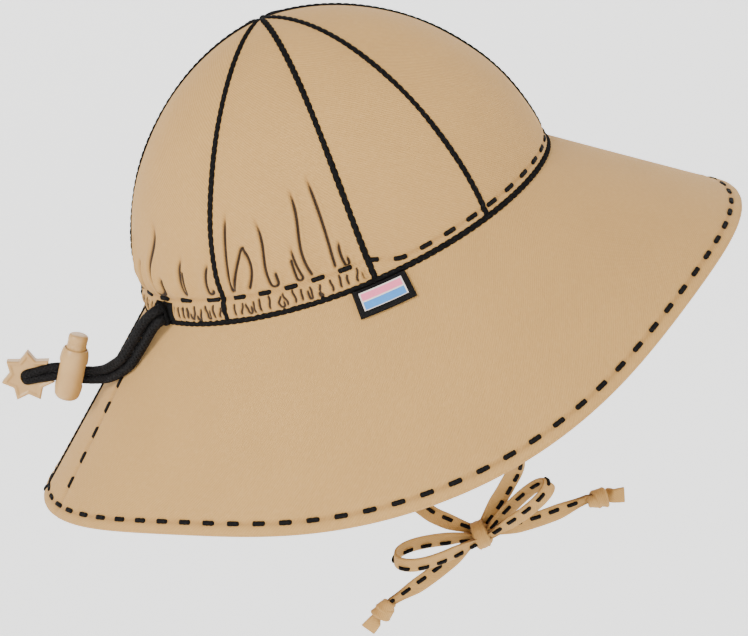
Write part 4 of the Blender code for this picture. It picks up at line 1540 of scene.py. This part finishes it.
def loopParts(side):
    angles = (side["loopRise"], bow["loopForward"], bow["loopTilt"])
    rise, forward, tilt = (math.radians(angle) for angle in angles)
    way = side["side"]
    along = Vector((way * math.cos(rise), -math.sin(forward), math.sin(rise))).normalized()
    upright = along.cross(Vector((0, way, 0))).normalized()
    toward = along.cross(upright) * -way
    across = (toward * math.cos(tilt) + upright * math.sin(tilt)).normalized()
    widthWay = along.cross(across).normalized()
    knot = Vector(bow["knotPlace"]) * mm
    root = knot + Vector((way * bow["rootInside"], bow["loopLayer"], 0))
    reach = side["loopReach"] - bow["rootInside"]
    turn = np.linspace(0, math.pi, 81)
    spread = bow["loopRoot"] * np.cos(turn) + side["loopSpread"] / 2 * np.sin(2 * turn)
    line = np.array(root) + np.outer(reach * np.sin(turn), along) + np.outer(spread, across)
    return line, np.linalg.norm(line - np.array(root), axis=1), np.array(widthWay)


def tailParts(side):
    rise = math.radians(side["tailRise"])
    way = side["side"]
    along = np.array([way * math.cos(rise), 0, math.sin(rise)])
    knot = np.array(bow["knotPlace"]) * mm
    root = knot + np.array([way * bow["rootInside"], bow["tailLayer"], -bow["knotHeight"] / 10])
    reach = side["tailReach"] - bow["rootInside"]
    share = np.linspace(0, 1, 45)
    sag = np.outer(-bow["tailSag"] * np.sin(math.pi * share), np.array([0, 0, 1.0]))
    line = root + np.outer(share * reach, along) + sag
    ahead = droopedWay(unit(line[-1] - line[-2]), way)
    foot = line[-1] + ahead * endKnot["footGap"]
    # The tail runs on into its end knot
    line = np.concatenate([line, line[-1] + np.outer(endKnot["tailInside"], ahead)])
    fromKnot = np.concatenate([np.minimum(share, 1 - share) * reach, 0 * endKnot["tailInside"]])
    return line, fromKnot, acrossWays(along), ahead, foot


endKnot = {
    "turns": 1.8,
    "radius": 3.4 * mm,
    "pitch": 3.3 * mm,
    "first": 1.9 * mm,
    "length": 17 * mm,
    "width": 6 * mm,
    "wall": 1.7 * mm,
    "flatness": 0.78,
    "stubWidth": 7.2 * mm,
    "droop": 18,
    "footGap": 0.3 * mm,
    "tailInside": np.array([0.9, 1.8, 2.7, 3.6]) * mm,
}


def droopedWay(along, side):  # the heavy knots hang a little lower than the tails run
    angle = math.radians(endKnot["droop"]) * side
    cos, sin = math.cos(angle), math.sin(angle)
    x, y, z = along
    return np.array([x * cos + z * sin, y, z * cos - x * sin])


def makeEndKnot(side, foot, along):
    # The tail winds round itself and its cut end stands out beyond
    widthWay = acrossWays(along)
    wind = np.linspace(0, 1, 90)
    rest = np.linspace(0, 1, 26)[1:]
    angle = wind * endKnot["turns"] * 2 * math.pi
    wound = endKnot["first"] + wind * endKnot["turns"] * endKnot["pitch"]
    radius = endKnot["radius"] * np.concatenate([ramp(wind * 5 + 0.2), 1 - ramp(rest * 2.2)])
    far = np.concatenate([wound, mixed(wound[-1], endKnot["length"], rest)])
    around = np.concatenate([angle, np.full(len(rest), angle[-1])])
    line = foot + np.outer(far, along) + np.outer(radius * np.cos(around), widthWay)
    line = line + np.outer(radius * np.sin(around) * endKnot["flatness"], np.cross(along, widthWay))
    line = stacked(*(smoothed(values, 2) for values in line.T))
    turned = ramp(rest * 1.8)[:, None]
    ways = np.concatenate([along + 0.25 * np.outer(np.cos(angle), widthWay), mixed(along, widthWay, turned)])
    stubWidths = mixed(endKnot["width"], endKnot["stubWidth"], ramp(rest))
    widths = np.concatenate([np.full(len(wind), endKnot["width"]), stubWidths])
    return makeStrap(f"end_knot_{side}", f"tail_knot_{side}", line, widths, ways,
                     fullWidth=endKnot["width"] * 1.15, wall=endKnot["wall"])[0]


def makeKnotCore(centre):
    # The gathered layers that the wrap holds, as one folded lump
    lump = bmesh.new()
    bmesh.ops.create_icosphere(lump, subdivisions=5, radius=0.5)
    for corner in lump.verts:
        x, y, z = corner.co
        around = math.atan2(z, y)
        fold = 1 + bow["coreFold"] * math.cos(7 * around + 3 * x) * min(1, 4 * math.hypot(y, z))
        corner.co = Vector(centre) + Vector(bow["coreSize"] * (x, y * fold, z * fold))
    points = np.array([corner.co for corner in lump.verts])
    faces = [[corner.index for corner in face.verts] for face in lump.faces]
    lump.free()
    grain = (points[:, ::2] - centre[::2]) / mm
    # The lump inside the wrap carries an even painted shade
    return meshObject("bow_core", points, faces, "twill", grain, bow["coreShade"])


wrap = {
    "from": 200,
    "to": 610,
    "inner": 0.80,
    "outer": 0.98,
    "width": 7.4 * mm,
    "wall": 1.5 * mm,
    "slide": 0.7 * mm,
}


def makeBowKnot():
    centre = np.array(bow["knotPlace"]) * mm
    angle = np.radians(np.linspace(wrap["from"], wrap["to"], 130))
    grow = mixed(wrap["inner"], wrap["outer"], ramp((np.linspace(0, 1, len(angle)) - 0.1) / 0.8))
    deep, tall = ((bow[key] / 2 - wrap["wall"] / 2) * grow for key in ("knotDepth", "knotHeight"))
    line = centre + stacked(wrap["slide"] * np.sin(angle * 0.5), deep * np.cos(angle), tall * np.sin(angle))
    ways = np.array([1, 0, 0]) + 0.12 * stacked(0, -np.sin(angle), np.cos(angle))
    widths = wrap["width"] * (0.86 + 0.10 * np.cos(2 * angle))
    knot = makeStrap("bow_wrap", "bow_knot", line, widths, ways, wrap["width"] * 1.12, wrap["wall"])[0]
    makeKnotCore(centre).parent = knot
    return knot


def makeBow():
    ties = makeTies()
    knot = makeBowKnot()
    for side in bow["sides"]:
        name = side["name"]
        line, fromKnot, widthWay = loopParts(side)
        sewnStrap(f"loop_{name}", f"bow_loop_{name}", line, fromKnot, widthWay)[0]
        line, fromKnot, widthWay, ahead, foot = tailParts(side)
        tail = sewnStrap(f"tail_{name}", f"tie_tail_{name}", line, fromKnot, widthWay, side["side"])[0]
        makeEndKnot(name, foot, ahead)
    stitchRow("tie_stitches", tieRows, "tie", lift=0.35)
    print("ties and bow tied")


tieRows = []
makeBow()


# Studio: a pale round floor that sweeps up all round, soft lights and an even sky
studio = {
    "floorHeight": -1.3,
    "flatRadius": 2.2,
    "sweepRadius": 1.6,
    "wallHeight": 3.2,
    "floorColour": (0.86, 0.855, 0.84),
    "floorFibre": (0.8, 0.79, 0.77),
    "sky": (0.93, 0.95, 1.0),
    "skyStrength": 0.75,
    "floorGlow": 0.9,
}
lights = [
    {"name": "key", "place": (-0.75, -1.05, 1.25), "aim": (0, 0, -0.02), "size": 0.6, "power": 36},
    {"name": "fill", "place": (1.3, -1.2, 0.35), "aim": (0, 0, -0.05), "size": 1.4, "power": 3},
    {"name": "back", "place": (0.4, 1.4, 1.0), "aim": (0, 0, 0), "size": 1.0, "power": 12},
]


def makeStudio():
    flat, sweep = studio["flatRadius"], studio["sweepRadius"]
    angles = np.linspace(0, math.pi / 2, 17)
    profile = [(0.001, 0), (flat * 0.5, 0)]
    profile += [(flat + sweep * math.sin(angle), sweep * (1 - math.cos(angle))) for angle in angles]
    profile.append((flat + sweep, studio["wallHeight"]))
    paint = Paint("studioPaper")
    fibre = paint.between(paint.noise(paint.objectPlace(), 40.0), 0.0, 0.05)
    materials["paper"] = paint.surface(
        Base_Color=paint.blend(fibre, studio["floorColour"], studio["floorFibre"]), Roughness=0.95,
        Specular_IOR_Level=0.1, Emission_Color=(1, 1, 1, 1), Emission_Strength=studio["floorGlow"])
    rings = ringsOf(profile, 96) + np.array([0, 0, studio["floorHeight"]])
    loft("floor", rings, "paper", caps=None)
    world = bpy.data.worlds.new("sky")
    world.use_nodes = True
    background = world.node_tree.nodes["Background"]
    background.inputs["Color"].default_value = (*studio["sky"], 1)
    background.inputs["Strength"].default_value = studio["skyStrength"]
    bpy.context.scene.world = world
    for light in lights:
        lamp = bpy.data.lights.new(light["name"], "AREA")
        lamp.energy = light["power"]
        lamp.size = light["size"]
        made = inScene(light["name"], lamp)
        made.location = light["place"]
        made.rotation_mode = "QUATERNION"
        made.rotation_quaternion = (Vector(light["aim"]) - Vector(light["place"])).to_track_quat("-Z", "Y")


makeStudio()
print("studio lit")
